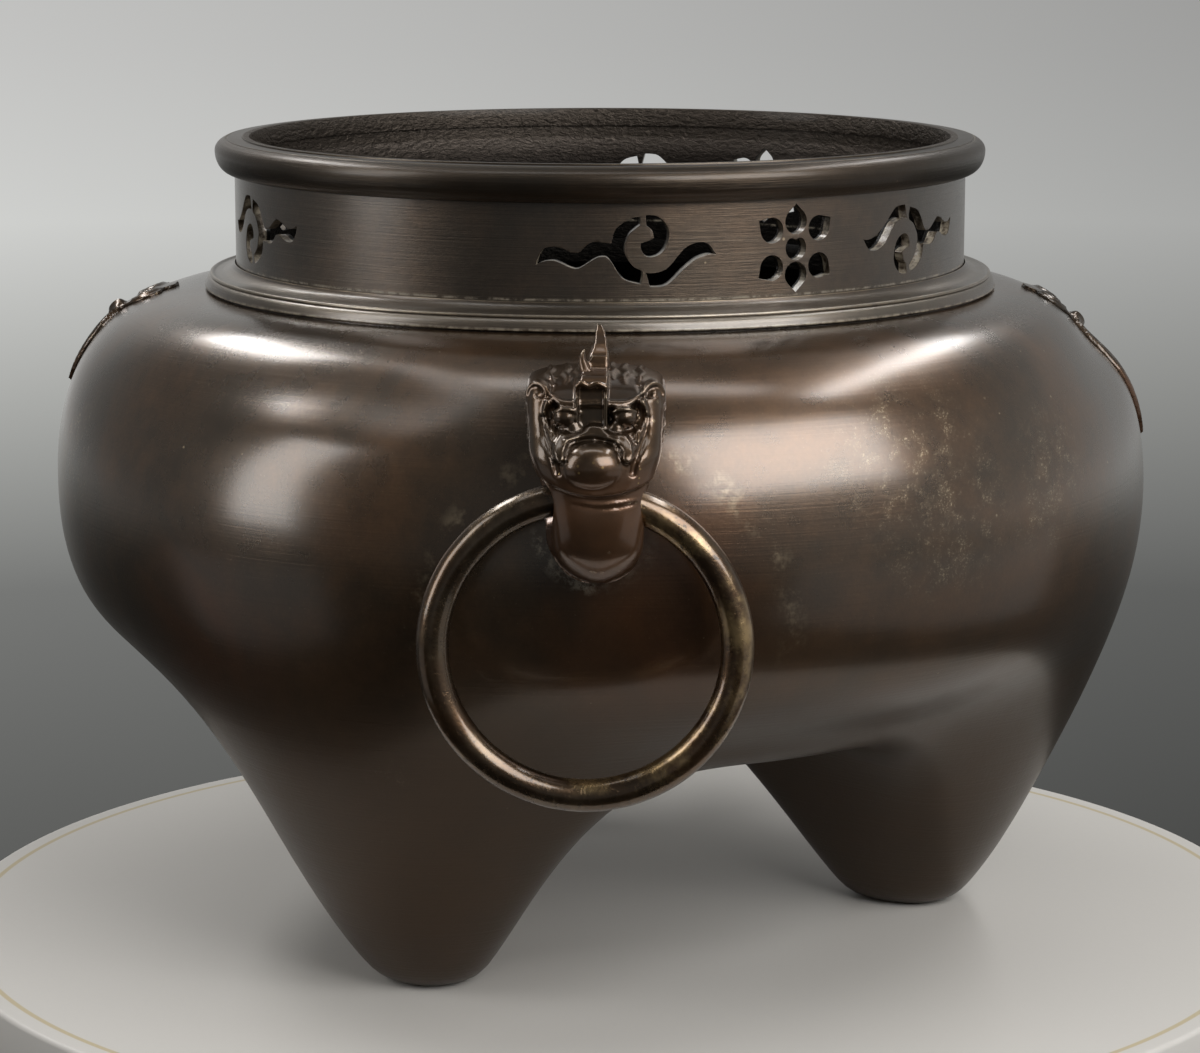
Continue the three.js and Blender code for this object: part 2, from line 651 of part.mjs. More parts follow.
// Outline of a leaf mount, [side, distance down the shoulder]: a cloud head over a leaf
function mountOutline(leafLength) {
  const top = MOUNT_TOP;
  const neck = top + MOUNT_HEAD_LENGTH;
  const end = neck + leafLength;
  const lobe = MOUNT_HEAD_HALF_WIDTH;
  const half = [
    [0, top],
    [lobe * 0.34, top + MOUNT_HEAD_LENGTH * 0.05],
    [lobe * 0.5, top + MOUNT_HEAD_LENGTH * 0.2],
    [lobe * 0.86, top + MOUNT_HEAD_LENGTH * 0.25],
    [lobe, top + MOUNT_HEAD_LENGTH * 0.46],
    [lobe * 0.82, top + MOUNT_HEAD_LENGTH * 0.68],
    [lobe * 0.46, top + MOUNT_HEAD_LENGTH * 0.84],
    [lobe * 0.3, neck],
    [LEAF_HALF_WIDTH * 0.86, neck + leafLength * 0.22],
    [LEAF_HALF_WIDTH, neck + leafLength * 0.45],
    [LEAF_HALF_WIDTH * 0.66, neck + leafLength * 0.76],
  ];
  const other = half.slice(1).map(([side, distance]) => [-side, distance]).reverse();
  return [...half, [0, end], ...other];
}

// Mount: the outline pressed onto the shoulder, with a knob and two peened pins
function makeMount(site) {
  const middle = MOUNT_TOP + (MOUNT_HEAD_LENGTH + site.leafLength) / 2;
  const { place, direction } = tenonPlace(site.angle, alongForDistance(site.angle, middle));
  const across = new THREE.Vector3(-Math.sin(site.angle), Math.cos(site.angle), 0);
  const up = new THREE.Vector3().crossVectors(direction, across);
  const outline = mountOutline(site.leafLength).map(([side, distance]) => [side, middle - distance]);
  const depth = 3 * (MOUNT_HEAD_LENGTH + site.leafLength) / 2;
  const options = { depth, steps: 1, bevelEnabled: false };
  const geometry = new THREE.ExtrudeGeometry(shapeFrom(outline), options).translate(0, 0, -depth / 2);
  const frame = new THREE.Matrix4().makeBasis(across, up, direction).setPosition(place);
  const prism = solidFrom(geometry.applyMatrix4(frame));
  let mount = prism.intersect(filledBelly(SEAT_GAP + MOUNT_THICKNESS));
  const knobAt = tenonPlace(site.angle, alongForDistance(site.angle, MOUNT_TOP + MOUNT_HEAD_LENGTH));
  const knobPlace = knobAt.place.clone().addScaledVector(knobAt.direction, SEAT_GAP + MOUNT_THICKNESS / 2);
  const ball = new THREE.SphereGeometry(MOUNT_KNOB_RADIUS, 12, 8);
  const knob = placedAlong(ball, knobPlace, knobAt.direction);
  mount = mount.add(knob).subtract(bellyTrim);
  const pinEnd = -WALL - MOUNT_PIN_HEAD_HEIGHT;
  mountPinSites(site).forEach((pin) => {
    const shank = rod(MOUNT_PIN_RADIUS, pinEnd, SEAT_GAP + MOUNT_THICKNESS / 2, 10);
    const head = rod(MOUNT_PIN_HEAD_RADIUS, pinEnd, -WALL, 10);
    mount = mount.add(placedAlong(shank, pin.place, pin.direction));
    mount = mount.add(placedAlong(head, pin.place, pin.direction).intersect(hollowTrim));
  });
  return mount;
}

const finishes = {
  bronze: { color: 0x3a2f28, roughness: 0.42, metalness: 0.9 },
  wornBronze: { color: 0x5a4632, roughness: 0.35, metalness: 0.95 },
  rivetBronze: { color: 0x4a4038, roughness: 0.5, metalness: 0.9 },
};

function named(name, geometry, finish) {
  const mesh = new THREE.Mesh(geometry, new THREE.MeshStandardMaterial(finishes[finish]));
  mesh.name = name;
  return mesh;
}

const brazier = new THREE.Group();
brazier.add(named('body_shell', geometryFrom(makeBody()), 'bronze'));
brazier.add(named('shoulder_collar', geometryFrom(makeCollar()), 'bronze'));
brazier.add(named('neck_band', geometryFrom(makeNeck()), 'bronze'));
brazier.add(named('rim_ring', geometryFrom(makeRim()), 'bronze'));
Object.entries(LUG_ANGLES).forEach(([side, angle]) => {
  brazier.add(named(`lug_${side}`, geometryFrom(makeLug(angle)), 'bronze'));
  ['upper', 'lower'].forEach((level, i) => {
    brazier.add(named(`rove_${side}_${level}`, geometryFrom(makeRove(angle, tenonSites[i])), 'rivetBronze'));
  });
  brazier.add(named(`ring_${side}`, makeRing(angle), 'wornBronze'));
});
mountSites.forEach((site) => {
  brazier.add(named(site.name, geometryFrom(makeMount(site)), 'bronze'));
});

export default brazier;
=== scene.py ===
"""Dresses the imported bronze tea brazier: castings, openwork, lugs, rings, patina and stage."""

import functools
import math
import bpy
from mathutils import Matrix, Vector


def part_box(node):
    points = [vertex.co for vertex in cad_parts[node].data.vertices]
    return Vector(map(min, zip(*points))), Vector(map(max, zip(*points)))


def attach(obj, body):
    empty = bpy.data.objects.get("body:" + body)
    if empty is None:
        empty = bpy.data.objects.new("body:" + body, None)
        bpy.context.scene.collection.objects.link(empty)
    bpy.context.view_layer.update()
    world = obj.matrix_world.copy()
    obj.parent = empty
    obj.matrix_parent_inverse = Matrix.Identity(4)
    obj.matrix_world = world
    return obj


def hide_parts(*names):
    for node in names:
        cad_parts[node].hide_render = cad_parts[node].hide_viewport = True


bl_info = {
    "name": "Bronze Tea Brazier",
    "version": (1, 0, 0),
    "blender": (4, 5, 0),
    "location": "View3D > Sidebar > Brazier",
    "description": "Builds the visible pieces of a bronze tea brazier around its packed solids",
    "category": "Object",
}

import bmesh
import bpy
from bpy.props import FloatProperty, FloatVectorProperty, IntProperty, PointerProperty
from mathutils import Matrix, Vector, noise

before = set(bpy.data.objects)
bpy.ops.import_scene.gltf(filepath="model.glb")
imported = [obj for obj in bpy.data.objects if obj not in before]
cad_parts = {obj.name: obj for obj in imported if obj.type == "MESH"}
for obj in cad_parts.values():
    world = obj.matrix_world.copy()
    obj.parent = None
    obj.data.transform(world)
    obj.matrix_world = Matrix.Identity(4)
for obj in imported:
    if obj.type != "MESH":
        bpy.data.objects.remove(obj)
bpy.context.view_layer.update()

MM = 0.001
UP = Vector((0, 0, 1))
BODY = "brazier"

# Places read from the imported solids, in millimetres
NECK_LOW, NECK_HIGH = (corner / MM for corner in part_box("neck_band"))
RING_LOW, RING_HIGH = (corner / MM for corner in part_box("ring_right"))
WIRE_RADIUS = (RING_HIGH.x - RING_LOW.x) / 2
EYE_RADIUS = (RING_HIGH.x + RING_LOW.x) / 2
EYE_HEIGHT = RING_HIGH.z - WIRE_RADIUS
RING_RADIUS = (RING_HIGH.z - RING_LOW.z) / 2 - WIRE_RADIUS
RING_SLIDE = (RING_HIGH.y + RING_LOW.y) / 2
RING_MIDDLE = EYE_HEIGHT - RING_RADIUS
NECK_WALL = 4
MOUTH_HEIGHT = 212.6

# Belly outlines as control points of a smooth curve, (radius, height) in millimetres
OVER_LEG = (
    (129, MOUTH_HEIGHT), (150.5, MOUTH_HEIGHT), (159.5, 194.1), (180.7, 183.2), (186.3, 124.2),
    (151, 40.9), (96.5, -51), (39.5, 78), (0, 78),
)
BETWEEN_LEGS = (
    (129, MOUTH_HEIGHT), (150.9, MOUTH_HEIGHT), (175.7, 194.7), (183.9, 154.7), (177.7, 105.5),
    (135.1, 86.1), (126.2, 68.7), (70.6, 78), (0, 78),
)
LEG_COUNT = 3
FRONT_LEG = -math.pi / 2
LEG_SHARPNESS = 2.27
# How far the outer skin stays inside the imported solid
SKIN_INSET = 0.32
MERGE_DISTANCE = 1e-4
SEAM_DISTANCE = 0.002
# Steps along the outline for measuring distances down the shoulder
WALK_STEP, WALK_COUNT = 0.002, 260


def blend(start, end, share):
    return start + (end - start) * share


def clamp(value, low=0.0, high=1.0):
    return max(low, min(high, value))


@functools.lru_cache(maxsize=None)
def outline_point(controls, along):
    """Point of a clamped cubic curve, along from 0 to 1."""
    degree = 3
    spans = len(controls) - degree
    span = min(int(along * spans), spans - 1)
    knots = [clamp((i - degree) / spans) for i in range(len(controls) + degree + 1)]
    points = [Vector(controls[span + i]) for i in range(degree + 1)]
    for level in range(1, degree + 1):
        for i in range(degree, level - 1, -1):
            low, high = knots[span + i], knots[span + i + 1 + degree - level]
            share = (along - low) / (high - low)
            points[i] = blend(points[i - 1], points[i], share)
    return points[degree]


def belly_point(angle, along):
    """Point of the belly's outside: along is 0 at the mouth and 1 under the middle."""
    over, between = outline_point(OVER_LEG, along), outline_point(BETWEEN_LEGS, along)
    wave = ((1 + math.cos(LEG_COUNT * (angle - FRONT_LEG))) / 2) ** LEG_SHARPNESS
    radius, height = blend(between, over, wave)
    return Vector((radius * math.cos(angle), radius * math.sin(angle), height))


def belly_normal(angle, along):
    step = 1e-4
    if along > 1 - step:
        return -UP
    round_way = belly_point(angle + step, along) - belly_point(angle - step, along)
    down_way = belly_point(angle, along + step) - belly_point(angle, max(along - step, 0))
    return down_way.cross(round_way).normalized()


@functools.lru_cache(maxsize=None)
def walk_table(angle):
    """Distances walked down the belly from the mouth, at even steps along its outline."""
    last, walked, table = belly_point(angle, 0), 0.0, [0.0]
    for i in range(1, WALK_COUNT):
        point = belly_point(angle, i * WALK_STEP)
        walked += (point - last).length
        table.append(walked)
        last = point
    return table


def along_after(angle, distance):
    """Where on the belly's outline a distance walked down from the mouth ends."""
    table = walk_table(round(angle, 5))
    for i in range(1, len(table)):
        if table[i] >= distance:
            share = (distance - table[i - 1]) / (table[i] - table[i - 1])
            return (i - 1 + share) * WALK_STEP
    return len(table) * WALK_STEP


def arc(centre, radii, start, end, steps):
    """Points along an arc in a plane, angles in degrees, both ends included."""
    angles = [math.radians(blend(start, end, i / steps)) for i in range(steps + 1)]
    return [
        (centre[0] + radii[0] * math.cos(angle), centre[1] + radii[1] * math.sin(angle))
        for angle in angles
    ]


def smooth_path(points, steps):
    """Points of a smooth curve through the given ones, the last one left out."""
    vectors = [Vector(point) for point in points]
    path = []
    for i in range(len(vectors) - 1):
        before, start = vectors[max(i - 1, 0)], vectors[i]
        end, after = vectors[i + 1], vectors[min(i + 2, len(vectors) - 1)]
        for k in range(steps):
            t = k / steps
            curve = start * 2 + (end - before) * t
            curve += (before * 2 - start * 5 + end * 4 - after) * t * t
            curve += (start * 3 - before - end * 3 + after) * t ** 3
            path.append(curve / 2)
    return path


# Mesh steps that several pieces share

def chain(bm, points, closed=False):
    """Vertices joined by edges; returns the edges."""
    verts = [bm.verts.new(point) for point in points]
    pairs = list(zip(verts, verts[1:]))
    if closed:
        pairs.append((verts[-1], verts[0]))
    return [bm.edges.new(pair) for pair in pairs]


def merge(bm, distance=MERGE_DISTANCE):
    bmesh.ops.remove_doubles(bm, verts=bm.verts, dist=distance)


def turn_outwards(bm):
    bmesh.ops.recalc_face_normals(bm, faces=bm.faces)


def turned(profile, steps, closed=False):
    """A skin turned round the upright axis from a profile of (radius, height) points."""
    bm = bmesh.new()
    edges = chain(bm, [(radius, 0, height) for radius, height in profile], closed)
    verts = list(dict.fromkeys(vert for edge in edges for vert in edge.verts))
    bmesh.ops.spin(
        bm, geom=verts + edges, cent=(0, 0, 0), axis=UP, angle=2 * math.pi, steps=steps,
        use_merge=True, use_duplicate=False,
    )
    merge(bm)
    turn_outwards(bm)
    return bm


def corners(bm, angle):
    """Edges whose two faces meet at more than an angle in degrees."""
    return [
        edge for edge in bm.edges
        if len(edge.link_faces) == 2 and edge.calc_face_angle() > math.radians(angle)
    ]


def bevel(bm, edges, width, segments=2):
    bmesh.ops.bevel(
        bm, geom=edges, offset=width, offset_type="OFFSET", affect="EDGES", segments=segments,
        profile=0.5, material=-1, clamp_overlap=True,
    )


def shade(bm, angle=35):
    """Smooth shading, except over the corners."""
    for face in bm.faces:
        face.smooth = True
    for edge in corners(bm, angle):
        edge.smooth = False


def fill_outlines(bm, outlines):
    """Flat faces between closed outlines: the first is the outer one, the rest are holes."""
    edges = []
    for outline in outlines:
        edges += chain(bm, [(x, y, 0) for x, y in outline], closed=True)
    bmesh.ops.triangle_fill(bm, use_beauty=True, edges=edges, normal=UP)


def pull(bm, faces):
    """Walls from faces to a copy of them; returns the vertices of the copy."""
    pulled = bmesh.ops.extrude_face_region(bm, geom=faces, use_keep_orig=True)
    return [item for item in pulled["geom"] if isinstance(item, bmesh.types.BMVert)]


def slice_across(bm, axis, low, high, step):
    """Cuts a mesh by evenly spaced planes, so that it can bend smoothly."""
    normal = Vector((0, 0, 0))
    normal[axis] = 1
    count = max(1, round((high - low) / step))
    for i in range(1, count):
        place = normal * blend(low, high, i / count)
        geometry = bm.verts[:] + bm.edges[:] + bm.faces[:]
        bmesh.ops.bisect_plane(bm, geom=geometry, dist=1e-5, plane_co=place, plane_no=normal)


def plain_mesh(bm, name):
    """The mesh of a bmesh, which is used up."""
    mesh = bpy.data.meshes.new(name)
    bm.to_mesh(mesh)
    bm.free()
    return mesh


def metric_mesh(bm, name):
    """A mesh in metres from a bmesh drawn in millimetres."""
    bmesh.ops.scale(bm, vec=Vector((MM, MM, MM)), verts=bm.verts)
    return plain_mesh(bm, name)


def placed(mesh, name):
    """A new object of the scene with this mesh."""
    item = bpy.data.objects.new(name, mesh)
    bpy.context.scene.collection.objects.link(item)
    return item


def dress(mesh, name, finish, nodes, body=BODY):
    """Adds a finished mesh to the scene in place of its solids."""
    piece = placed(mesh, name)
    mesh.materials.clear()
    mesh.materials.append(finish)
    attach(piece, body)
    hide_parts(*nodes)


def with_modifiers(mesh, modifiers):
    """The mesh that a stack of modifiers makes from another one."""
    carrier = placed(mesh, "carrier")
    for kind, settings in modifiers:
        modifier = carrier.modifiers.new(kind, kind)
        for name, value in settings.items():
            setattr(modifier, name, value)
    graph = bpy.context.evaluated_depsgraph_get()
    result = bpy.data.meshes.new_from_object(carrier.evaluated_get(graph))
    bpy.data.objects.remove(carrier)
    return result


# Shader maths

def maths(operation):
    return lambda signal, *others: signal.math(operation, *others)


class Signal:
    """A number that changes over a surface; sums on it add Math nodes."""

    def __init__(self, finish, socket):
        self.finish = finish
        self.socket = socket

    def math(self, operation, *others):
        inputs = dict(enumerate((self, *others)))
        node = self.finish.add("ShaderNodeMath", {"operation": operation}, inputs)
        return Signal(self.finish, node.outputs[0])

    __add__ = __radd__ = maths("ADD")
    __mul__ = __rmul__ = maths("MULTIPLY")
    __sub__ = maths("SUBTRACT")
    __truediv__ = maths("DIVIDE")
    __pow__ = maths("POWER")
    larger = maths("MAXIMUM")
    smaller = maths("MINIMUM")
    size = maths("ABSOLUTE")

    def __rsub__(self, other):
        return (self * -1) + other

    def steps(self, low, high):
        """0 below low and 1 above high, smooth between."""
        node = self.finish.add(
            "ShaderNodeMapRange", {"interpolation_type": "SMOOTHSTEP", "clamp": True},
            {"Value": self, "From Min": low, "From Max": high, "To Min": 0.0, "To Max": 1.0},
        )
        return Signal(self.finish, node.outputs["Result"])

    def bump_at(self, middle, width):
        """1 where the number is near the middle, fading to 0 a width away."""
        return 1 - ((self - middle).size() / width).smaller(1.0)


def diagonal(across, up):
    """Distance from two numbers at a right angle."""
    return (across * across + up * up) ** 0.5


class Finish:
    """One material or world, built node by node; x, y and z of a material are in millimetres."""

    def __init__(self, name, world=False):
        self.owner = (bpy.data.worlds if world else bpy.data.materials).new(name)
        self.owner.use_nodes = True
        self.tree = self.owner.node_tree
        self.tree.nodes.clear()
        coordinates = self.add("ShaderNodeTexCoord")
        self.place = coordinates.outputs["Generated" if world else "Object"]
        split = self.add("ShaderNodeSeparateXYZ", {}, {0: self.place})
        unit = 1 if world else MM
        self.x, self.y, self.z = (Signal(self, socket) / unit for socket in split.outputs)

    def add(self, kind, settings=None, values=None):
        """A node with its settings; values are numbers, colours, sockets or signals."""
        node = self.tree.nodes.new(kind)
        for name, value in (settings or {}).items():
            setattr(node, name, value)
        for key, value in (values or {}).items():
            socket, source = node.inputs[key], getattr(value, "socket", value)
            if isinstance(source, bpy.types.NodeSocket):
                self.tree.links.new(source, socket)
            else:
                socket.default_value = (*source, 1) if socket.type == "RGBA" else source
        return node

    def attribute(self, name):
        node = self.add("ShaderNodeAttribute", {"attribute_name": name})
        return Signal(self, node.outputs["Fac"])

    def pointiness(self):
        return Signal(self, self.add("ShaderNodeNewGeometry").outputs["Pointiness"])

    def stretched(self, scale, turn=(0, 0, 0)):
        values = {"Vector": self.place, "Scale": scale, "Rotation": turn}
        return self.add("ShaderNodeMapping", {}, values).outputs[0]

    def noise(self, scale, detail, roughness, place=None, distortion=0.0):
        node = self.add("ShaderNodeTexNoise", {}, {
            "Vector": place or self.place, "Scale": scale, "Detail": detail,
            "Roughness": roughness, "Distortion": distortion,
        })
        return Signal(self, node.outputs[0])

    def streaks(self, detail, roughness, scale, distortion=0.0):
        """Noise with its own scale along each axis."""
        return self.noise(1.0, detail, roughness, self.stretched(scale), distortion)

    def spots(self, scale, detail, roughness, low, high):
        """Scattered patches with soft edges."""
        return self.noise(scale, detail, roughness).steps(low, high)

    def cells(self, scale):
        """Distance to the nearest of many scattered points, and a random number for each."""
        node = self.add("ShaderNodeTexVoronoi", {}, {"Vector": self.place, "Scale": scale})
        pick = self.add("ShaderNodeSeparateColor", {}, {0: node.outputs["Color"]})
        return Signal(self, node.outputs["Distance"]), Signal(self, pick.outputs[0])

    def ramp(self, signal, stops):
        node = self.add("ShaderNodeValToRGB", {}, {0: signal})
        elements = node.color_ramp.elements
        while len(elements) < len(stops):
            elements.new(0.5)
        for element, (position, colour) in zip(elements, stops):
            element.position = position
            element.color = (*colour, 1)
        return node.outputs["Color"]

    def mix(self, share, first, second, kind="MIX"):
        """Two colours mixed by a share."""
        settings = {"data_type": "RGBA", "blend_type": kind, "clamp_factor": True}
        return self.add("ShaderNodeMix", settings, {0: share, 6: first, 7: second}).outputs[2]

    def bump(self, height, distance):
        values = {"Height": height, "Distance": distance, "Strength": 1.0}
        return self.add("ShaderNodeBump", {}, values).outputs[0]

    def surface(self, values):
        shader = self.add("ShaderNodeBsdfPrincipled", {}, values)
        self.add("ShaderNodeOutputMaterial", {}, {"Surface": shader.outputs[0]})
        return self.owner

    def bronze(self, colour, roughness, metallic, relief, depth, coat=(0.0, 1.5, 0.03)):
        """Metal with a relief and a lacquer coat, given as weight, IOR and roughness."""
        return self.surface({
            "Base Color": colour, "Roughness": roughness, "Metallic": metallic,
            "Coat Weight": coat[0], "Coat IOR": coat[1], "Coat Roughness": coat[2],
            "Normal": self.bump(relief, depth),
        })


# Sizes and colours that a user would change

class BellySizes(bpy.types.PropertyGroup):
    wall: FloatProperty(
        name="Wall", description="Thickness of the cast wall", default=3.5 * MM, unit="LENGTH",
    )
    waviness: FloatProperty(
        name="Waviness", description="How far the hand-finished surface wanders",
        default=0.22 * MM, unit="LENGTH",
    )
    toe_rounding: FloatProperty(
        name="Toe rounding", description="Height over which a toe turns to the floor",
        default=6 * MM, unit="LENGTH",
    )
    columns: IntProperty(name="Columns", description="Faces round the belly", default=240)
    rows: IntProperty(name="Rows", description="Faces down the outside", default=110)


class NeckSizes(bpy.types.PropertyGroup):
    edge: FloatProperty(
        name="Edge", description="Worn edge of the openings", default=0.38 * MM, unit="LENGTH",
    )
    collar_edge: FloatProperty(
        name="Collar edge", description="Worn edge of the collar",
        default=0.45 * MM, unit="LENGTH",
    )
    groove: FloatProperty(
        name="Rim groove", description="Depth of the line on the rim",
        default=0.4 * MM, unit="LENGTH",
    )
    columns: IntProperty(name="Columns", description="Faces round the turned rings", default=240)


class LugSizes(bpy.types.PropertyGroup):
    grain: FloatProperty(
        name="Grain", description="Smallest carved detail of the heads",
        default=0.42 * MM, unit="LENGTH",
    )
    ring_waviness: FloatProperty(
        name="Ring waviness", description="How far the forged wire wanders",
        default=0.12 * MM, unit="LENGTH",
    )
    mount_relief: FloatProperty(
        name="Mount relief", description="Height of the leaf mounts' ridges",
        default=0.8 * MM, unit="LENGTH",
    )


class BronzeColours(bpy.types.PropertyGroup):
    deep: FloatVectorProperty(
        name="Deep patina", description="Olive black of the patina",
        subtype="COLOR", default=(0.064, 0.044, 0.027),
    )
    warm: FloatVectorProperty(
        name="Warm patina", description="Red brown of the patina",
        subtype="COLOR", default=(0.116, 0.061, 0.028),
    )
    rubbed: FloatVectorProperty(
        name="Rubbed metal", description="Metal shown by handling",
        subtype="COLOR", default=(0.46, 0.36, 0.23),
    )
    dust: FloatVectorProperty(
        name="Dust", description="Pale ash and dust in the corners",
        subtype="COLOR", default=(0.36, 0.31, 0.23),
    )


class StageSettings(bpy.types.PropertyGroup):
    table_radius: FloatProperty(
        name="Table radius", description="Half of the table top's width",
        default=225 * MM, unit="LENGTH",
    )
    table_thickness: FloatProperty(
        name="Table thickness", description="Height of the table top's edge",
        default=26 * MM, unit="LENGTH",
    )
    table_colour: FloatVectorProperty(
        name="Table", description="Colour of the table top",
        subtype="COLOR", default=(0.63, 0.605, 0.565),
    )
    light_level: FloatProperty(
        name="Light level", description="Scales every lamp", default=1.0, min=0,
    )


# Finishes

# Heights on the collar: dust lies on the belly under it and on the cove's top, and the ledge
# carries a painted highlight
SHELF, LEDGE, COVE_TOP = 213.1, 217, 221.2
PIERCED_LOW, PIERCED_HIGH = 222, 249
RIM_LOW = 251
NECK_INNER = 118.0
TRUNK_TIP = 162
SCUFFS = (
    ((-148, -92, 176), 34), ((-146, -104, 160), 30), ((-112, -138, 170), 22),
    ((-118, -134, 158), 18), ((-150, 62, 82), 9), ((150, 60, 150), 26), ((60, -160, 140), 30),
    ((-60, 165, 165), 26),
)
RED_PATCHES = (((-150, -14, 140), 48), ((-120, 110, 120), 40), ((140, -60, 120), 50))


def patches(finish, places):
    """Soft round areas, given as (place in millimetres, radius in millimetres)."""
    total = None
    for place, size in places:
        values = {0: finish.place, 1: Vector(place) * MM}
        offset = finish.add("ShaderNodeVectorMath", {"operation": "DISTANCE"}, values)
        near = 1 - (Signal(finish, offset.outputs["Value"]) / (size * MM)).smaller(1.0)
        total = near if total is None else total.larger(near)
    return total


def patina_base(finish, colours):
    """Brown and olive-black clouds with fine mottling; returns the colour and its parts."""
    clouds = finish.noise(11.0, 4.0, 0.6, distortion=0.6)
    mottle = finish.noise(75.0, 5.0, 0.65)
    grain = finish.noise(900.0, 2.0, 0.5)
    warmth = (clouds * 1.25 + mottle * 0.35 - 0.32).steps(0.25, 0.75)
    colour = finish.mix(warmth, colours.deep, colours.warm)
    shading = mottle * 0.5 + grain * 0.3 + 0.62
    tone = finish.add("ShaderNodeCombineColor", {}, {0: shading, 1: shading, 2: shading})
    colour = finish.mix(1.0, colour, tone.outputs[0], "MULTIPLY")
    return colour, clouds, mottle, grain


def flecks(finish, scale, size, share):
    """Small scattered spots: a cell shows one when its random number is high."""
    distance, pick = finish.cells(scale)
    return (1 - distance.steps(size * 0.5, size)) * pick.steps(1 - share, 1 - share * 0.8)


def hairlines(finish, turn, threshold):
    """Fine straight scratches lying in one direction."""
    lines = finish.noise(1.0, 2.0, 0.4, place=finish.stretched((40, 1500, 1500), turn))
    return lines.steps(threshold, threshold + 0.06)


def belly_finish(colours):
    """Gloss worn by hands and rings, painted shade towards the feet, with a sooty inside."""
    finish = Finish("belly_patina")
    x, y, z = finish.x, finish.y, finish.z
    colour, clouds, mottle, grain = patina_base(finish, colours)
    red = (patches(finish, RED_PATCHES) * 1.4).smaller(1.0) * clouds.steps(0.3, 0.6)
    colour = finish.mix(red * 0.7, colour, (0.20, 0.062, 0.018))

    # Rubbed metal: scuffs, stray scratches, specks and the sweep of the ring
    crossed = hairlines(finish, (0.4, 0.9, 0.3), 0.60) + hairlines(finish, (1.1, 0.2, 1.3), 0.61)
    worn = (patches(finish, SCUFFS) * 1.6).smaller(1.0) * finish.spots(160.0, 4.0, 0.75, 0.44, 0.74)
    worn = worn * (crossed.smaller(1.0) * 0.85 + 0.2)
    stray = hairlines(finish, (0.8, 0.5, 2.1), 0.71) * 0.5
    specks = flecks(finish, 170.0, 0.09, 0.05) + flecks(finish, 50.0, 0.034, 0.22) * 1.3
    drop = z - RING_MIDDLE
    sweep = diagonal(y - RING_SLIDE, drop).bump_at(RING_RADIUS + 11, 5) * drop.steps(-20, -10)
    rub = sweep * finish.spots(90.0, 4.0, 0.7, 0.5, 0.7) * 0.7
    pale = (worn + specks.smaller(1.0) * 0.7 + stray * 0.35 + rub).smaller(1.0)
    colour = finish.mix(pale * 0.75, colour, colours.rubbed)

    # Dust round the trunk's tip, on the picture's right of it, and under the collar
    tip = diagonal(y, z - TRUNK_TIP).bump_at(16.5, 3.2)
    tip = tip * (1 - z.steps(TRUNK_TIP - 4, TRUNK_TIP + 2)) * (1 - (x * y).steps(-700, 400) * 0.85)
    crust = finish.spots(260.0, 4.0, 0.7, 0.42, 0.62)
    dust = ((tip * 1.1 + z.bump_at(SHELF - 0.1, 0.8) * 0.35) * crust).smaller(1.0)
    colour = finish.mix(dust, colour, colours.dust)

    inside = finish.attribute("inner_skin")
    ash = finish.spots(34.0, 5.0, 0.7, 0.35, 0.7)
    lining = finish.mix(ash, (0.018, 0.015, 0.012), (0.085, 0.072, 0.058))
    colour = finish.mix(inside, colour, lining)
    # Painted shade: the colour darkens towards the feet, where the lower belly and legs fall in
    # shade.
    low = (1 - z.steps(80, 165)) * (1 - inside)
    colour = finish.mix(low * 0.85, colour, (0.038, 0.023, 0.012))

    brushing = finish.streaks(3.0, 0.6, (16, 16, 1500))
    cast_skin = finish.streaks(4.0, 0.62, (120, 120, 260), 0.8)
    roughness = 0.19 + mottle * 0.12 + clouds * 0.06 + low * 0.1 + inside * 0.36
    relief = brushing * 0.55 + grain * 0.25 + mottle * 0.5 + inside * cast_skin * 8.0
    return finish.bronze(
        colour, roughness + dust * 0.4 + pale * 0.1, 0.72 - dust * 0.6 - inside * 0.3,
        relief - pale * 0.5 + dust * 0.8, 0.00012,
        (0.9 - low * 0.75 - inside * 0.9, 1.75, 0.2),
    )


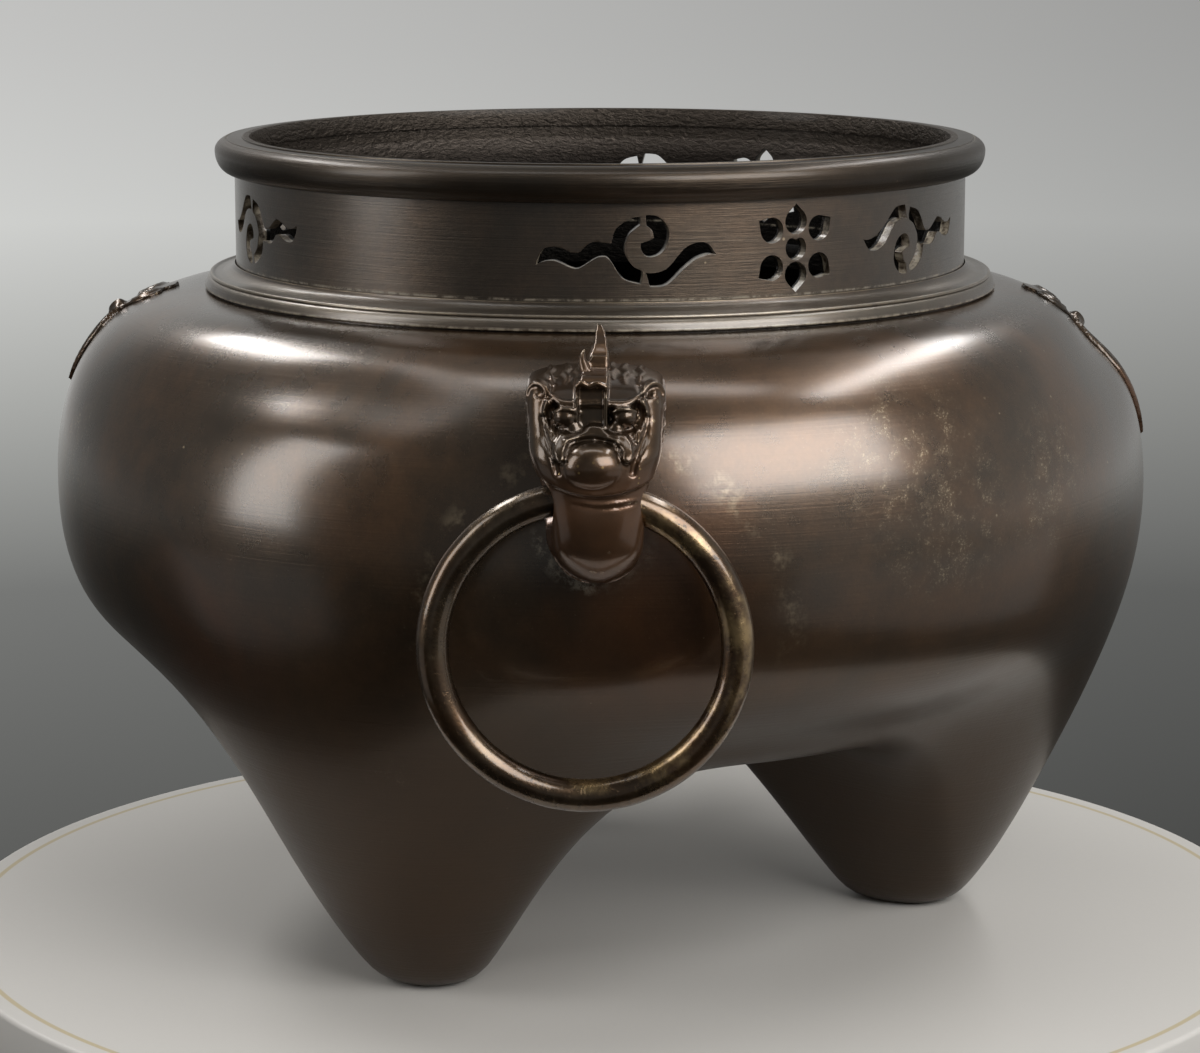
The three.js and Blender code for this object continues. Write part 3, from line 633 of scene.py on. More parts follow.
def turned_finish(colours):
    """Bronze brushed round and round, with a rough sooty inside painted into shade deeper down, a
    painted highlight on the ledge, and pale dust in the openings.
    """
    finish = Finish("turned_bronze")
    z = finish.z
    radius = diagonal(finish.x, finish.y)
    colour, _, mottle, grain = patina_base(finish, colours)
    brushing = finish.streaks(4.0, 0.7, (14, 14, 1900))
    streaks = brushing.steps(0.52, 0.76) * finish.spots(26.0, 3.0, 0.6, 0.35, 0.7)
    blotches = finish.spots(120.0, 5.0, 0.7, 0.42, 0.62)
    colour = finish.mix(0.5, colour, (0.092, 0.075, 0.058))
    colour = finish.mix(streaks * 0.25, colour, (0.30, 0.26, 0.20))
    colour = finish.mix(blotches * 0.3, colour, (0.050, 0.038, 0.027))

    # Rubbed edges, but for the openings', where a fill between far corners would show
    specks = (flecks(finish, 150.0, 0.09, 0.05) + flecks(finish, 60.0, 0.035, 0.25)).smaller(1.0)
    above = z.steps(PIERCED_LOW, PIERCED_LOW + 1)
    pierced_zone = above * (1 - z.steps(PIERCED_HIGH - 1, PIERCED_HIGH))
    sharp = finish.pointiness().steps(0.512, 0.55)
    rub = sharp * finish.spots(160.0, 3.0, 0.6, 0.25, 0.6) * (1 - pierced_zone)
    colour = finish.mix((rub * 0.8 + specks * 0.7).smaller(1.0) * 0.8, colour, colours.rubbed)

    inside = 1 - radius.steps(NECK_INNER, NECK_INNER + 0.4)
    # Soot inside the neck, with painted shade: near black deep down, lighter towards the rim.
    soot_and_shade = finish.ramp(z.steps(236, 256), (
        (0.0, (0.006, 0.005, 0.004)), (0.45, (0.042, 0.034, 0.028)), (1.0, (0.15, 0.125, 0.105)),
    ))
    colour = finish.mix(inside, colour, soot_and_shade)
    # Painted highlight: the collar's ledge is lightened to a pale bronze.
    ledge_highlight = z.bump_at(LEDGE, 5) * radius.steps(121.5, 122.5)
    colour = finish.mix(ledge_highlight * 0.55, colour, (0.27, 0.235, 0.185))
    rim = z.steps(RIM_LOW, RIM_LOW + 1)
    colour = finish.mix(rim * 0.6, colour, (0.036, 0.028, 0.020))

    # Dust in the openings' walls and in the corners of the collar
    openings = radius.steps(NECK_INNER, NECK_INNER + 0.3) * (1 - radius.steps(120.72, 120.96))
    crust = finish.spots(300.0, 4.0, 0.7, 0.38, 0.62)
    edges = z.bump_at(SHELF, 0.9) * 0.9 + z.bump_at(COVE_TOP, 0.9) * 0.8
    away = radius.steps(128.5, 130.5).larger(z.bump_at(COVE_TOP, 0.7))
    dust = (edges * away * crust + openings * pierced_zone * crust * 0.85).smaller(1.0)
    colour = finish.mix(dust, colour, colours.dust)

    wrinkles = finish.streaks(4.0, 0.62, (360, 360, 800), 0.4)
    relief = (brushing * 1.4 + grain * 0.25 + mottle * 0.6) * (1 - inside) + inside * wrinkles * 8.0
    return finish.bronze(
        colour, 0.27 + mottle * 0.12 + brushing * 0.08 + inside * 0.12 + dust * 0.3,
        0.94 - dust * 0.7, relief, 0.00014,
        (0.8 - inside.larger(rim * 0.7) * 0.7, 1.8, 0.25),
    )


def carved_finish(colours, name, polish):
    """Bronze of the heads and mounts: bright on the high places, dirty in the cuts, and painted
    shade round the ring's eye hole.
    """
    finish = Finish(name)
    z = finish.z
    colour, _, mottle, grain = patina_base(finish, colours)
    height = finish.pointiness()
    high = height.steps(0.52, 0.60) * finish.spots(140.0, 3.0, 0.6, 0.3, 0.6)
    low = (1 - height.steps(0.40, 0.49)) * finish.spots(220.0, 4.0, 0.7, 0.3, 0.6)
    colour = finish.mix(high * polish, colour, colours.rubbed)
    colour = finish.mix(low * 0.55, colour, (0.012, 0.009, 0.006))
    trunk = 1 - z.steps(178, 189)
    colour = finish.mix(trunk * (mottle * 0.8 + 0.15), colour, (0.17, 0.078, 0.038))
    # Painted shade: round the eye hole, where the ring passes through, the colour is near black.
    eye_hole_shade = 1 - diagonal(finish.x.size() - EYE_RADIUS, z - EYE_HEIGHT).steps(6.2, 7.8)
    colour = finish.mix(eye_hole_shade, colour, (0.012, 0.010, 0.008))
    gold = flecks(finish, 420.0, 0.22, 0.16) * z.bump_at(180, 8) * 0.8
    colour = finish.mix(gold, colour, (0.62, 0.42, 0.16))
    return finish.bronze(
        colour, 0.24 + mottle * 0.12 + low * 0.3 - high * 0.05 + eye_hole_shade * 0.4, 0.9 - trunk * 0.2,
        grain * 0.3 + mottle * 0.6, 0.00012, (0.6 - eye_hole_shade * 0.6, 1.7, 0.14),
    )


def ring_finish(colours):
    """Forged bronze, rubbed to yellow on the inside of the ring."""
    finish = Finish("ring_bronze")
    colour, _, mottle, grain = patina_base(finish, colours)
    wear = finish.spots(70.0, 4.0, 0.65, 0.42, 0.68)
    dirt = finish.spots(420.0, 3.0, 0.7, 0.56, 0.7)
    from_middle = diagonal(finish.y - RING_SLIDE, finish.z - RING_MIDDLE)
    facing_in = 1 - from_middle.steps(RING_RADIUS - 3.5, RING_RADIUS + 0.5)
    colour = finish.mix(wear * 0.14, colour, colours.rubbed)
    colour = finish.mix(facing_in * wear * 0.75, colour, (0.55, 0.38, 0.18))
    colour = finish.mix(dirt * 0.5, colour, (0.015, 0.012, 0.008))
    return finish.bronze(
        colour, 0.21 + mottle * 0.14 + dirt * 0.2, 0.94,
        grain * 0.4 + mottle * 0.5 - dirt * 0.3, 0.00014, (0.6, 1.7, 0.14),
    )


def rivet_finish(colours):
    """Hammered washers, out of the polisher's reach."""
    finish = Finish("rivet_bronze")
    colour, _, mottle, grain = patina_base(finish, colours)
    hammer = finish.cells(420.0)[0]
    return finish.bronze(
        colour, 0.45 + mottle * 0.2, 0.9, hammer * 1.2 + grain * 0.4, 0.00015,
    )


# Belly

TOE_FLOOR = 5
DRIFT_SIZE = 55


def row_places(count):
    """Shares of the way down the belly, crowded where it turns fastest."""
    crowding, crowded_at = 0.55, 0.68
    places = []
    for i in range(count + 1):
        t = i / count
        shift = math.sin(2 * math.pi * (t - crowded_at)) + math.sin(2 * math.pi * crowded_at)
        places.append(clamp(t - crowding * shift / (2 * math.pi)))
    return places


def toe_height(height, rounding):
    """Height after the toe is set flat on the floor with a rounded edge."""
    closeness = max(rounding - abs(height), 0) / rounding
    return max(height, 0) + closeness ** 2 * rounding / 4


def belly_skin(rows, columns, wander=0.0, rounding=6.0):
    """Turns a row of markers round the axis and sets each on the belly, in millimetres.

    A row is a place along the outline, an offset from it and whether it closes the mouth.
    """
    markers = [
        (0 if along >= 1 or closing else 1, i) for i, (along, offset, closing) in enumerate(rows)
    ]
    bm = turned(markers, columns)
    inner_skin = bm.verts.layers.float.new("inner_skin")
    for vert in bm.verts:
        along, offset, closing = rows[round(vert.co.z)]
        vert[inner_skin] = 1.0 if offset < 0 else 0.0
        angle = math.atan2(vert.co.y, vert.co.x)
        if closing:
            vert.co = (0, 0, offset)
            continue
        point = belly_point(angle, along)
        normal = belly_normal(angle, along)
        quiet = clamp(along / 0.06) * clamp((1 - along) / 0.1)
        drift = min(noise.fractal(point / DRIFT_SIZE, 1.0, 2.0, 3), 0) * wander * quiet
        point += normal * (offset + (drift - SKIN_INSET if offset >= 0 else 0))
        if along >= 1:
            point.x = point.y = 0
        if offset < 0:
            point.z = max(point.z, TOE_FLOOR)
        else:
            point.z = toe_height(point.z, rounding)
        vert.co = point
    turn_outwards(bm)
    return bm


class BRAZIER_OT_belly(bpy.types.Operator):
    """Belly, legs and vault as one casting with its wall"""

    bl_idname = "brazier.belly"
    bl_label = "Belly and legs"

    def execute(self, context):
        sizes = context.scene.brazier_belly
        outside = [(along, 0, False) for along in reversed(row_places(sizes.rows))]
        inside = [(along, -sizes.wall / MM, False) for along in row_places(sizes.rows // 2)]
        bm = belly_skin(
            outside + inside, sizes.columns, sizes.waviness / MM, sizes.toe_rounding / MM,
        )
        shade(bm)
        finish = belly_finish(context.scene.brazier_bronze)
        dress(metric_mesh(bm, "belly_casting"), "belly_casting", finish, ["body_shell"])
        return {"FINISHED"}


# Collar, neck and rim

CLOUD_LENGTH = 55
MOTIF_SPACING = 54.4
MOTIF_GROUPS = 3
MOTIF_MIDDLE = 235.35
# Cloud scroll in parts of its length: each channel is a start and smooth edges that meet in corners
CLOUD_CHANNELS = (
    ((-0.5, -0.064), (
        ((-0.46, -0.046), (-0.405, -0.04), (-0.36, -0.055), (-0.316, -0.075), (-0.264, -0.082),
         (-0.184, -0.033), (-0.145, -0.018), (-0.109, -0.022), (-0.08, -0.055), (-0.042, -0.115),
         (0.002, -0.151), (0.076, -0.169)),
        ((0.085, -0.104), (0.038, -0.075), (0.002, -0.029), (-0.015, 0.025), (0.009, 0.1),
         (0.038, 0.129), (0.073, 0.155)),
        ((0.065, 0.2), (0.009, 0.185), (-0.035, 0.158), (-0.069, 0.122), (-0.085, 0.055)),
        ((-0.153, 0.064), (-0.198, 0.06), (-0.235, 0.033), (-0.264, 0.005), (-0.309, 0.007),
         (-0.353, 0.027), (-0.405, 0.036), (-0.456, 0.025), (-0.489, -0.025), (-0.5, -0.064)),
    )),
    ((0.102, 0.207), (
        ((0.149, 0.207), (0.195, 0.182), (0.227, 0.136), (0.231, 0.085), (0.213, 0.029),
         (0.18, -0.007), (0.135, -0.022), (0.098, -0.011), (0.076, 0.025), (0.076, 0.055)),
        ((0.142, 0.078), (0.145, 0.1), (0.135, 0.129), (0.095, 0.158)),
    )),
    ((0.105, -0.107), (
        ((0.156, -0.109), (0.209, -0.093), (0.245, -0.064), (0.282, -0.018), (0.32, 0.022),
         (0.364, 0.047), (0.416, 0.055), (0.46, 0.04), (0.5, -0.015)),
        ((0.46, -0.011), (0.409, -0.025), (0.364, -0.051), (0.305, -0.1), (0.253, -0.151),
         (0.202, -0.182), (0.098, -0.185)),
    )),
)
PETAL_REACH = {"upright": 8.1, "side": 10.2}
PETAL_RADIUS = 3.9
PETAL_TIP = 5.4
PETAL_SIDE_ANGLE = 34
EYE_OPENING = 3.7


def channel_outline(start, edges):
    outline = []
    for edge in edges:
        outline += smooth_path([start, *edge], 3)
        start = edge[-1]
    return [(point.x * CLOUD_LENGTH, point.y * CLOUD_LENGTH) for point in outline]


def petal_outline(angle, reach):
    """A round opening drawn out to a point away from the flower's middle."""
    turn = math.degrees(angle)
    open_side = math.degrees(math.acos(PETAL_RADIUS / PETAL_TIP))
    centre = (reach * math.cos(angle), reach * math.sin(angle))
    radii = (PETAL_RADIUS, PETAL_RADIUS)
    tip = arc(centre, (PETAL_TIP, PETAL_TIP), turn, turn, 1)[0]
    return [*arc(centre, radii, turn + open_side, turn + 360 - open_side, 20), tip]


def flower_eye():
    """Round opening whose top is pressed in a little."""
    points = arc((0, 0), (EYE_OPENING, EYE_OPENING), 0, 360, 28)[:-1]
    return [(x, y - 1.1 * clamp(1 - abs(x) / 2.2) * (y > 0)) for x, y in points]


def opening_outlines():
    clouds = [channel_outline(start, edges) for start, edges in CLOUD_CHANNELS]
    left = [[(x - MOTIF_SPACING, y) for x, y in outline] for outline in clouds]
    right = [[(-x, -y) for x, y in outline] for outline in left]
    petals = []
    for turn in (0, math.pi):
        for degrees in (PETAL_SIDE_ANGLE, 90, 180 - PETAL_SIDE_ANGLE):
            reach = PETAL_REACH["upright" if degrees == 90 else "side"]
            petals.append(petal_outline(turn + math.radians(degrees), reach))
    return left + petals + [flower_eye()] + right


def collar_profile():
    """A cove falls from the neck to a bead, and a roll from the bead to the belly."""
    foot, spigot, bead = 212.9, 7, 217.1
    neck_outside, neck_inside = NECK_HIGH.x + 0.3, NECK_HIGH.x - NECK_WALL
    return [
        (neck_inside, foot - spigot), (128.7, foot - spigot), (128.7, foot), (131.2, foot),
        (131.4, foot + 0.35), *arc((128.7, foot + 0.5), (2.5, 3.3), 8, 78, 8),
        *arc((129.0, bead), (0.75, 0.65), -40, 120, 6),
        *arc((128.6, 221.4), (7.3, 4.1), 265, 190, 9),
        (neck_outside, NECK_LOW.z - 0.3), (neck_inside, NECK_LOW.z - 0.3),
    ]


def rim_profile(groove):
    """Overhanging roll, flat land with a groove, and the raised seat of the kettle."""
    neck_outside, middle = NECK_HIGH.x + 0.3, 122.4
    foot, widest, land, top = NECK_HIGH.z - 5.2, 257.5, 261.5, 262
    return [
        (neck_outside, NECK_HIGH.z + 0.04), (neck_outside, foot),
        *arc((middle, widest), (5, widest - foot), -90, 0, 10),
        *arc((middle, widest), (5, land - widest), 0, 62, 7)[1:],
        (124.0, land - 0.1), (123.8, land - groove), (123.4, land - groove), (123.2, land),
        (118.4, land), (118.4, top), (116, top), (116, NECK_HIGH.z + 0.04),
    ]


def pierced_neck(edge):
    """One third of the neck drawn flat, pierced, bent round and repeated."""
    outer, inner = NECK_HIGH.x, NECK_HIGH.x - NECK_WALL
    low, high = NECK_LOW.z - MOTIF_MIDDLE, NECK_HIGH.z - MOTIF_MIDDLE
    half = math.pi * outer / MOTIF_GROUPS
    bm = bmesh.new()
    border = [(-half, low), (half, low), (half, high), (-half, high)]
    fill_outlines(bm, [border, *opening_outlines()])
    bmesh.ops.translate(bm, verts=pull(bm, bm.faces[:]), vec=UP * NECK_WALL)
    turn_outwards(bm)
    bevel(bm, [
        item for item in corners(bm, 68.75)
        if all(abs(vert.co.x) < half - 1 and low + 1 < vert.co.y < high - 1 for vert in item.verts)
    ], edge)
    ends = [
        face for face in bm.faces if all(abs(abs(vert.co.x) - half) < 1e-3 for vert in face.verts)
    ]
    bmesh.ops.delete(bm, geom=ends, context="FACES")
    slice_across(bm, 0, -half, half, 2.2)
    for vert in bm.verts:
        angle = math.pi / 2 + vert.co.x / outer
        radius = inner + vert.co.z
        vert.co = (radius * math.cos(angle), radius * math.sin(angle), MOTIF_MIDDLE + vert.co.y)
    third = bm.verts[:] + bm.edges[:] + bm.faces[:]
    for i in range(1, MOTIF_GROUPS):
        copy = bmesh.ops.duplicate(bm, geom=third)
        verts = [item for item in copy["geom"] if isinstance(item, bmesh.types.BMVert)]
        turn = Matrix.Rotation(i * 2 * math.pi / MOTIF_GROUPS, 3, "Z")
        bmesh.ops.rotate(bm, verts=verts, cent=(0, 0, 0), matrix=turn)
    merge(bm, SEAM_DISTANCE)
    turn_outwards(bm)
    return bm


class BRAZIER_OT_neck(bpy.types.Operator):
    """Collar, pierced neck and rolled rim"""

    bl_idname = "brazier.neck"
    bl_label = "Collar, neck and rim"

    def execute(self, context):
        sizes = context.scene.brazier_neck
        finish = turned_finish(context.scene.brazier_bronze)
        rings = (
            ("collar_casting", "shoulder_collar", collar_profile(), sizes.collar_edge),
            ("rim_casting", "rim_ring", rim_profile(sizes.groove / MM), sizes.collar_edge * 0.5),
        )
        for name, node, profile, edge in rings:
            bm = turned(profile, sizes.columns, closed=True)
            bevel(bm, corners(bm, 30), edge / MM)
            shade(bm)
            dress(metric_mesh(bm, name), name, finish, [node])
        bm = pierced_neck(sizes.edge / MM)
        shade(bm)
        flat_normals = [("WEIGHTED_NORMAL", {"keep_sharp": True, "weight": 100})]
        mesh = with_modifiers(metric_mesh(bm, "drawn_neck"), flat_normals)
        mesh.name = "pierced_neck"
        dress(mesh, "pierced_neck", finish, ["neck_band"])
        return {"FINISHED"}


# Beast-head lugs, carved round the middle of the eye: x outwards, y across, z up, in millimetres

# Front of the snout and face: height, how far out the middle stands, half width, squareness
FACE = (
    (-25.6, -2, 1.5, 2), (-25, 0.2, 4.6, 2), (-23.6, 3.2, 7.4, 2), (-21.4, 6, 9.7, 2),
    (-18.4, 8.8, 11.6, 2), (-15.2, 10.9, 12.6, 2.1), (-11.5, 12.3, 13, 2.1), (-6, 13.1, 13.3, 2.2),
    (0, 13.1, 14, 2.2), (4, 12.8, 15.2, 2.3), (8, 12.6, 16.6, 2.5), (12, 12, 17.8, 2.7),
    (16, 10.5, 18.6, 2.9), (19, 8.4, 19, 3), (22, 6.2, 19.2, 3), (25, 5.2, 19.3, 3),
    (28.6, 4.4, 19.3, 3),
)
FACE_ROUNDING = 9.6
FACE_BACK = -48.0
TRIM_MARGIN = 0.12
TENON_PLACES = (0.15, 0.345)
# Lid of the forehead: place across, how far out its edge stands, height of its lower edge
BROW = (
    (0, 7.2, 27), (4, 7.2, 26.8), (7, 6.9, 26.6), (9.8, 6, 27), (11.8, 4.4, 28.2),
    (13.2, 2.6, 30.2), (14.6, 0.6, 31.2), (16.6, -2.4, 31), (18.2, -5.6, 29.4), (19.4, -10, 26),
)
CREST_SIDE = (
    (-25, 26), (5.6, 19.4), (6.6, 20.4), (6.4, 31.6), (7.2, 33.4), (4.4, 35.4), (0.2, 35.8),
    (-3.4, 36.6), (-4.6, 40.2), (-6.6, 38.8), (-10.4, 39), (-14.6, 42.2), (-18.6, 44.2),
    (-22.4, 46.9), (-21.8, 43.6), (-22.4, 41), (-25.6, 36),
)
# Crest seen from the front: height, left and right edge
CREST_EDGES = (
    (19, -5.4, 3.3), (32, -5, 3.4), (34.5, -4.2, 3.5), (37, -3.2, 3.6), (39, -1.4, 3.6),
    (42, -0.4, 3.2), (44.5, -0.1, 2.7), (46, 0.2, 2.1), (47, 0.5, 1.4),
)


@functools.lru_cache(maxsize=None)
def smoothed(table):
    return [*smooth_path(table, 5), Vector(table[-1])]


def table_value(table, place, column):
    """Value of a table's column, the first column being the place."""
    table = smoothed(table)
    if place <= table[0][0]:
        return table[0][column]
    for low, high in zip(table, table[1:]):
        if place <= high[0]:
            share = (place - low[0]) / (high[0] - low[0])
            return blend(low[column], high[column], share)
    return table[-1][column]


def smoothstep(value):
    share = clamp(value)
    return share * share * (3 - 2 * share)


def distance_to_line(a, b, line):
    """Distance in a plane from a point to a chain of points."""
    best = 1e9
    for (ax, ay), (bx, by) in zip(line, line[1:]):
        sx, sy = bx - ax, by - ay
        length = sx * sx + sy * sy
        share = clamp(((a - ax) * sx + (b - ay) * sy) / length) if length else 0
        gap = math.hypot(a - ax - sx * share, b - ay - sy * share)
        best = min(best, gap)
    return best


class Stroke:
    """A raised or sunk line drawn on a surface: round, or flat on top when it has a plateau."""

    def __init__(self, points, width, height, plateau=0.0):
        self.line = [tuple(point) for point in smooth_path(points, 4)] + [tuple(points[-1])]
        self.width, self.height, self.plateau = width, height, plateau
        self.low = [min(point[i] for point in self.line) - width for i in (0, 1)]
        self.high = [max(point[i] for point in self.line) + width for i in (0, 1)]

    def lift(self, a, b):
        if not (self.low[0] < a < self.high[0] and self.low[1] < b < self.high[1]):
            return 0
        gap = distance_to_line(a, b, self.line)
        return self.height * smoothstep((self.width - gap) / (self.width - self.plateau))


def both_sides(points):
    return [points, [(-a, b) for a, b in points]]


def face_strokes():
    """Lines of the face as seen from the front, (across, up)."""
    nose = [
        (-9.9, 13.8), (-10.0, 16.6), (-7.9, 19.2), (-3.9, 20.5), (1.6, 20.5), (6.2, 19.2),
        (8.9, 16.6), (9.1, 13.8),
    ]
    bridge = [
        (-8.3, 15.8), (-8.3, 17.9), (-7.6, 18.4), (-0.5, 18.6), (5.4, 18.4), (6.1, 17.8),
        (6.1, 16.0),
    ]
    strokes = [
        Stroke(nose, 2.3, 2.4, 1.0),
        Stroke(bridge, 0.7, 0.9, 0.15),
        Stroke([(-7, -0.1), (1, -1.1), (11, -0.1)], 0.6, -0.5),
        Stroke([(-4, 0.6), (1, 0.1), (11, 1.0)], 0.7, 0.4),
    ]
    leaf = [
        (13.3, 28.8), (14.2, 25), (13.7, 20.8), (12.1, 17.6), (11.9, 20.5), (12.3, 24.6),
        (13.3, 28.8),
    ]
    shapes = (
        # socket, crease between the nose and the cheek, leaf behind the eye
        ([(5.4, 23.6), (8.2, 23.7), (10.4, 24.2)], 4.4, -2.8, 2.4),
        ([(14.6, 23.5), (13.9, 19.0), (12.6, 15.6), (11.2, 12.4), (10.4, 9.0)], 1.2, -1.2, 0.3),
        (leaf, 0.85, 1.3, 0.25),
    )
    for points, width, height, plateau in shapes:
        strokes += [Stroke(half, width, height, plateau) for half in both_sides(points)]
    return strokes


def lofted(bm, rows):
    """Closed skin through rows that have the same number of points."""
    verts = [[bm.verts.new(point) for point in row] for row in rows]
    for low, high in zip(verts, verts[1:]):
        for i in range(len(low)):
            k = (i + 1) % len(low)
            bm.faces.new((low[i], low[k], high[k], high[i]))
    bm.faces.new(verts[0])
    bm.faces.new(verts[-1])


def snout_and_face(bm):
    strokes = face_strokes()
    rows = []
    low, high = FACE[0][0], FACE[-1][0]
    count, columns = 150, 96
    for i in range(count + 1):
        z = blend(low, high, i / count)
        out, half, square = (table_value(FACE, z, column) for column in (1, 2, 3))
        shift = 0.8 * (1 - smoothstep((z - 2) / 8))
        rounding = min(FACE_ROUNDING, out + 12)
        root = 1.4 * shift * smoothstep((z + 20) / 8)
        row = [(FACE_BACK, -half - root, z), (-1.0, -half - root, z)]
        for k in range(columns + 1):
            across = math.sin(math.radians(blend(-90, 90, k / columns)))
            y = half * across
            fall = 1 - (1 - abs(across) ** square) ** (1 / square)
            turn = math.copysign(abs(across) ** 4, across) * math.radians(68)
            lip = 2.0 + 0.0165 * y * y
            lift = 2.1 * smoothstep((z - lip) / 1.0) * (1 - smoothstep((z - 13) / 6))
            lift *= 1 - 0.35 * abs(across) ** 3
            lift += sum(stroke.lift(y, z) for stroke in strokes)
            x = out - rounding * fall
            row.append((x + lift * math.cos(turn), y + shift + lift * math.sin(turn) * 0.5, z))
        row += [(-1.0, half + shift, z), (FACE_BACK, half + shift, z)]
        rows.append(row)
    lofted(bm, rows)


def forehead(bm):
    """Lid over the eyes that rises back to the shoulder."""
    hollow = [(13.0, 6), (12.8, 0), (12.0, -14)]
    temples = [Stroke(half, 1.1, -1.0, 0.2) for half in both_sides(hollow)]
    reach = BROW[-1][0]
    rows = []
    across_steps, back_steps = 90, 60
    for i in range(across_steps + 1):
        y = blend(-reach, reach, i / across_steps)
        a = abs(y)
        edge, under = table_value(BROW, a, 1), table_value(BROW, a, 2)
        top = 33.4 - 2.6 * (a / reach) ** 3
        row = [
            (FACE_BACK, y, under - 4), (edge - 3.0, y, under - 2.5), (edge - 1.6, y, under - 0.2),
            (edge - 0.5, y, under),
        ]
        for k in range(back_steps + 1):
            x = blend(edge, FACE_BACK, (k / back_steps) ** 1.6)
            back = edge - x
            height = blend(under + 0.7, top, 1 - math.exp(-back / 8.5))
            rim = 0.7 * math.exp(-((back - 1.0) / 0.9) ** 2)
            row.append((x, y, height + rim + sum(stroke.lift(y, x) for stroke in temples)))
        rows.append(row)
    lofted(bm, rows)


def slab(bm, outline, low, high):
    """Pulls a side view out across the head."""
    edges = chain(bm, [(x, low, z) for x, z in outline], closed=True)
    face = bmesh.ops.contextual_create(bm, geom=edges)["faces"]
    bmesh.ops.translate(bm, verts=pull(bm, face), vec=(0, high - low, 0))


def pod(bm, centre, radii, turn=(0, 0, 0)):
    """An egg-shaped lump; the turn is in degrees about x, y and z."""
    matrix = Matrix.Translation(centre)
    for degrees, axis in zip(turn, "XYZ"):
        matrix = matrix @ Matrix.Rotation(math.radians(degrees), 4, axis)
    matrix = matrix @ Matrix.Diagonal((*radii, 1))
    bmesh.ops.create_icosphere(bm, subdivisions=4, radius=1, matrix=matrix)


def ridge(bm, points, radii, steps=10):
    """A raised line: beads set close together along a smooth path."""
    path = smooth_path(points, steps) + [Vector(points[-1])]
    beads = bmesh.new()
    for i, point in enumerate(path):
        share = i / (len(path) - 1) * (len(radii) - 1)
        k = min(int(share), len(radii) - 2)
        radius = blend(radii[k], radii[k + 1], share - k)
        matrix = Matrix.Translation(point)
        bmesh.ops.create_icosphere(beads, subdivisions=2, radius=radius, matrix=matrix)
    strand = plain_mesh(beads, "strand")
    bm.from_mesh(strand)
    bpy.data.meshes.remove(strand)


def crest(bm):
    """Flame that rises from a flat-fronted block between the eyes."""
    outline = [(point.x, point.y) for point in smooth_path([*CREST_SIDE, CREST_SIDE[0]], 3)]
    near = bm.verts[:]
    slab(bm, outline, -1, 1)
    for vert in set(bm.verts) - set(near):
        vert.co.y = table_value(CREST_EDGES, vert.co.z, 2 if vert.co.y > 0 else 1)
    wall = [(-10, 18), (7.8, 18.6), (8.2, 21), (8.2, 30), (7.6, 33.2), (-10, 33.2)]
    slab(bm, wall, 2.5, 3.4)
    slab(bm, [(x - 0.4, z) for x, z in wall], -5.6, -4.9)
    brow = [
        (7.6, -5.0, 32.9), (7.9, -3.7, 33.9), (7.9, -1.7, 32.9), (7.9, 0.5, 33.8), (7.8, 3.0, 32.8),
    ]
    ridge(bm, brow, (0.9, 1.0, 0.9, 1.0, 0.9), 6)
    flame = [(-1.6, -2.4, 34.6), (-3.4, -3.4, 37.2), (-4.6, -3.8, 39.4), (-5.8, -3.2, 41.6)]
    ridge(bm, flame, (1.9, 1.5, 1.0, 0.35))
    ridge(bm, [(-12, 3.2, 36), (-15, 3.0, 39), (-19, 2.4, 42.4)], (0.9, 0.9, 0.5))
    ridge(bm, [(-6, -1.6, 36.5), (-11, -1.5, 38), (-16, -0.8, 41.2)], (0.9, 0.9, 0.5))


EAR_CURL = (
    (1.6, 13.9, 27.4), (1.2, 13.9, 30.2), (-0.2, 15.2, 32.2), (-2.2, 17.6, 32.2),
    (-3.0, 19.2, 29.8), (-2.2, 18.9, 26.6), (-0.8, 17.3, 25.6), (0.2, 16.2, 27.4),
    (0.2, 16.5, 29.4), (-0.4, 17.6, 29.4),
)


def ears_and_eyes(bm):
    for side in (1, -1):
        pod(bm, (5.2, side * 8.2, 24.0), (3.5, 3.6, 3.3))
        pod(bm, (6.0, side * 6.0, 20.9), (2.5, 2.5, 2.1))
        lid = [(6.8, 4.6, 25.2), (7.9, 6.6, 26.3), (7.6, 9.4, 26.4), (6.0, 11.8, 25.4)]
        ridge(bm, [(x, side * y, z) for x, y, z in lid], (0.5, 0.7, 0.7, 0.4))
        pod(bm, (-5.4, side * 15.9, 28.6), (6.2, 3.5, 4.6), (side * -10, 14, 0))
        curl = [(x, side * y, z) for x, y, z in EAR_CURL]
        ridge(bm, curl, (0.5, 0.7, 0.75, 0.8, 0.8, 0.75, 0.7, 0.6, 0.55, 0.5), 8)


MANE = (
    ((-2.5, 19.1, 23.2), (-9, 19.3, 25.4), (-15, 19.4, 23.6), (-22, 19.4, 26.6), (-28, 19.4, 29.4)),
    ((-1.5, 19, 19.2), (-8, 19.1, 21.2), (-14, 19.2, 19), (-20, 19.3, 22), (-25, 19.4, 24.6)),
    ((-1, 18.6, 15.2), (-7, 18.8, 16.8), (-12, 18.7, 14.4), (-17, 18.9, 17.4), (-22, 19.1, 20.4)),
    ((-1, 17.9, 11.2), (-6, 17.9, 12.4), (-10.5, 17.5, 9.8), (-15, 18, 12.8), (-19, 18.5, 16)),
    ((-6, 12, 31.2), (-12, 12.8, 32.6), (-19, 13.8, 32.4), (-26, 12.6, 32.8), (-35, 13.4, 32.6)),
    ((-5, 8.4, 31.6), (-11, 7.8, 32.7), (-18, 9, 32.9), (-25, 7.8, 33), (-36, 8.6, 33)),
    ((-9, 5, 32.4), (-15, 4.4, 33), (-21, 5.4, 33.1), (-28, 4.2, 33.2), (-38, 4.8, 33.2)),
)


def mane(bm):
    """Locks of hair swept back along the sides and the top, as raised lines in waves."""
    for lock in MANE:
        for side in (1, -1):
            ridge(bm, [(x, side * y, z) for x, y, z in lock], (0.35, 1.0, 1.15, 1.0, 0.7), 8)


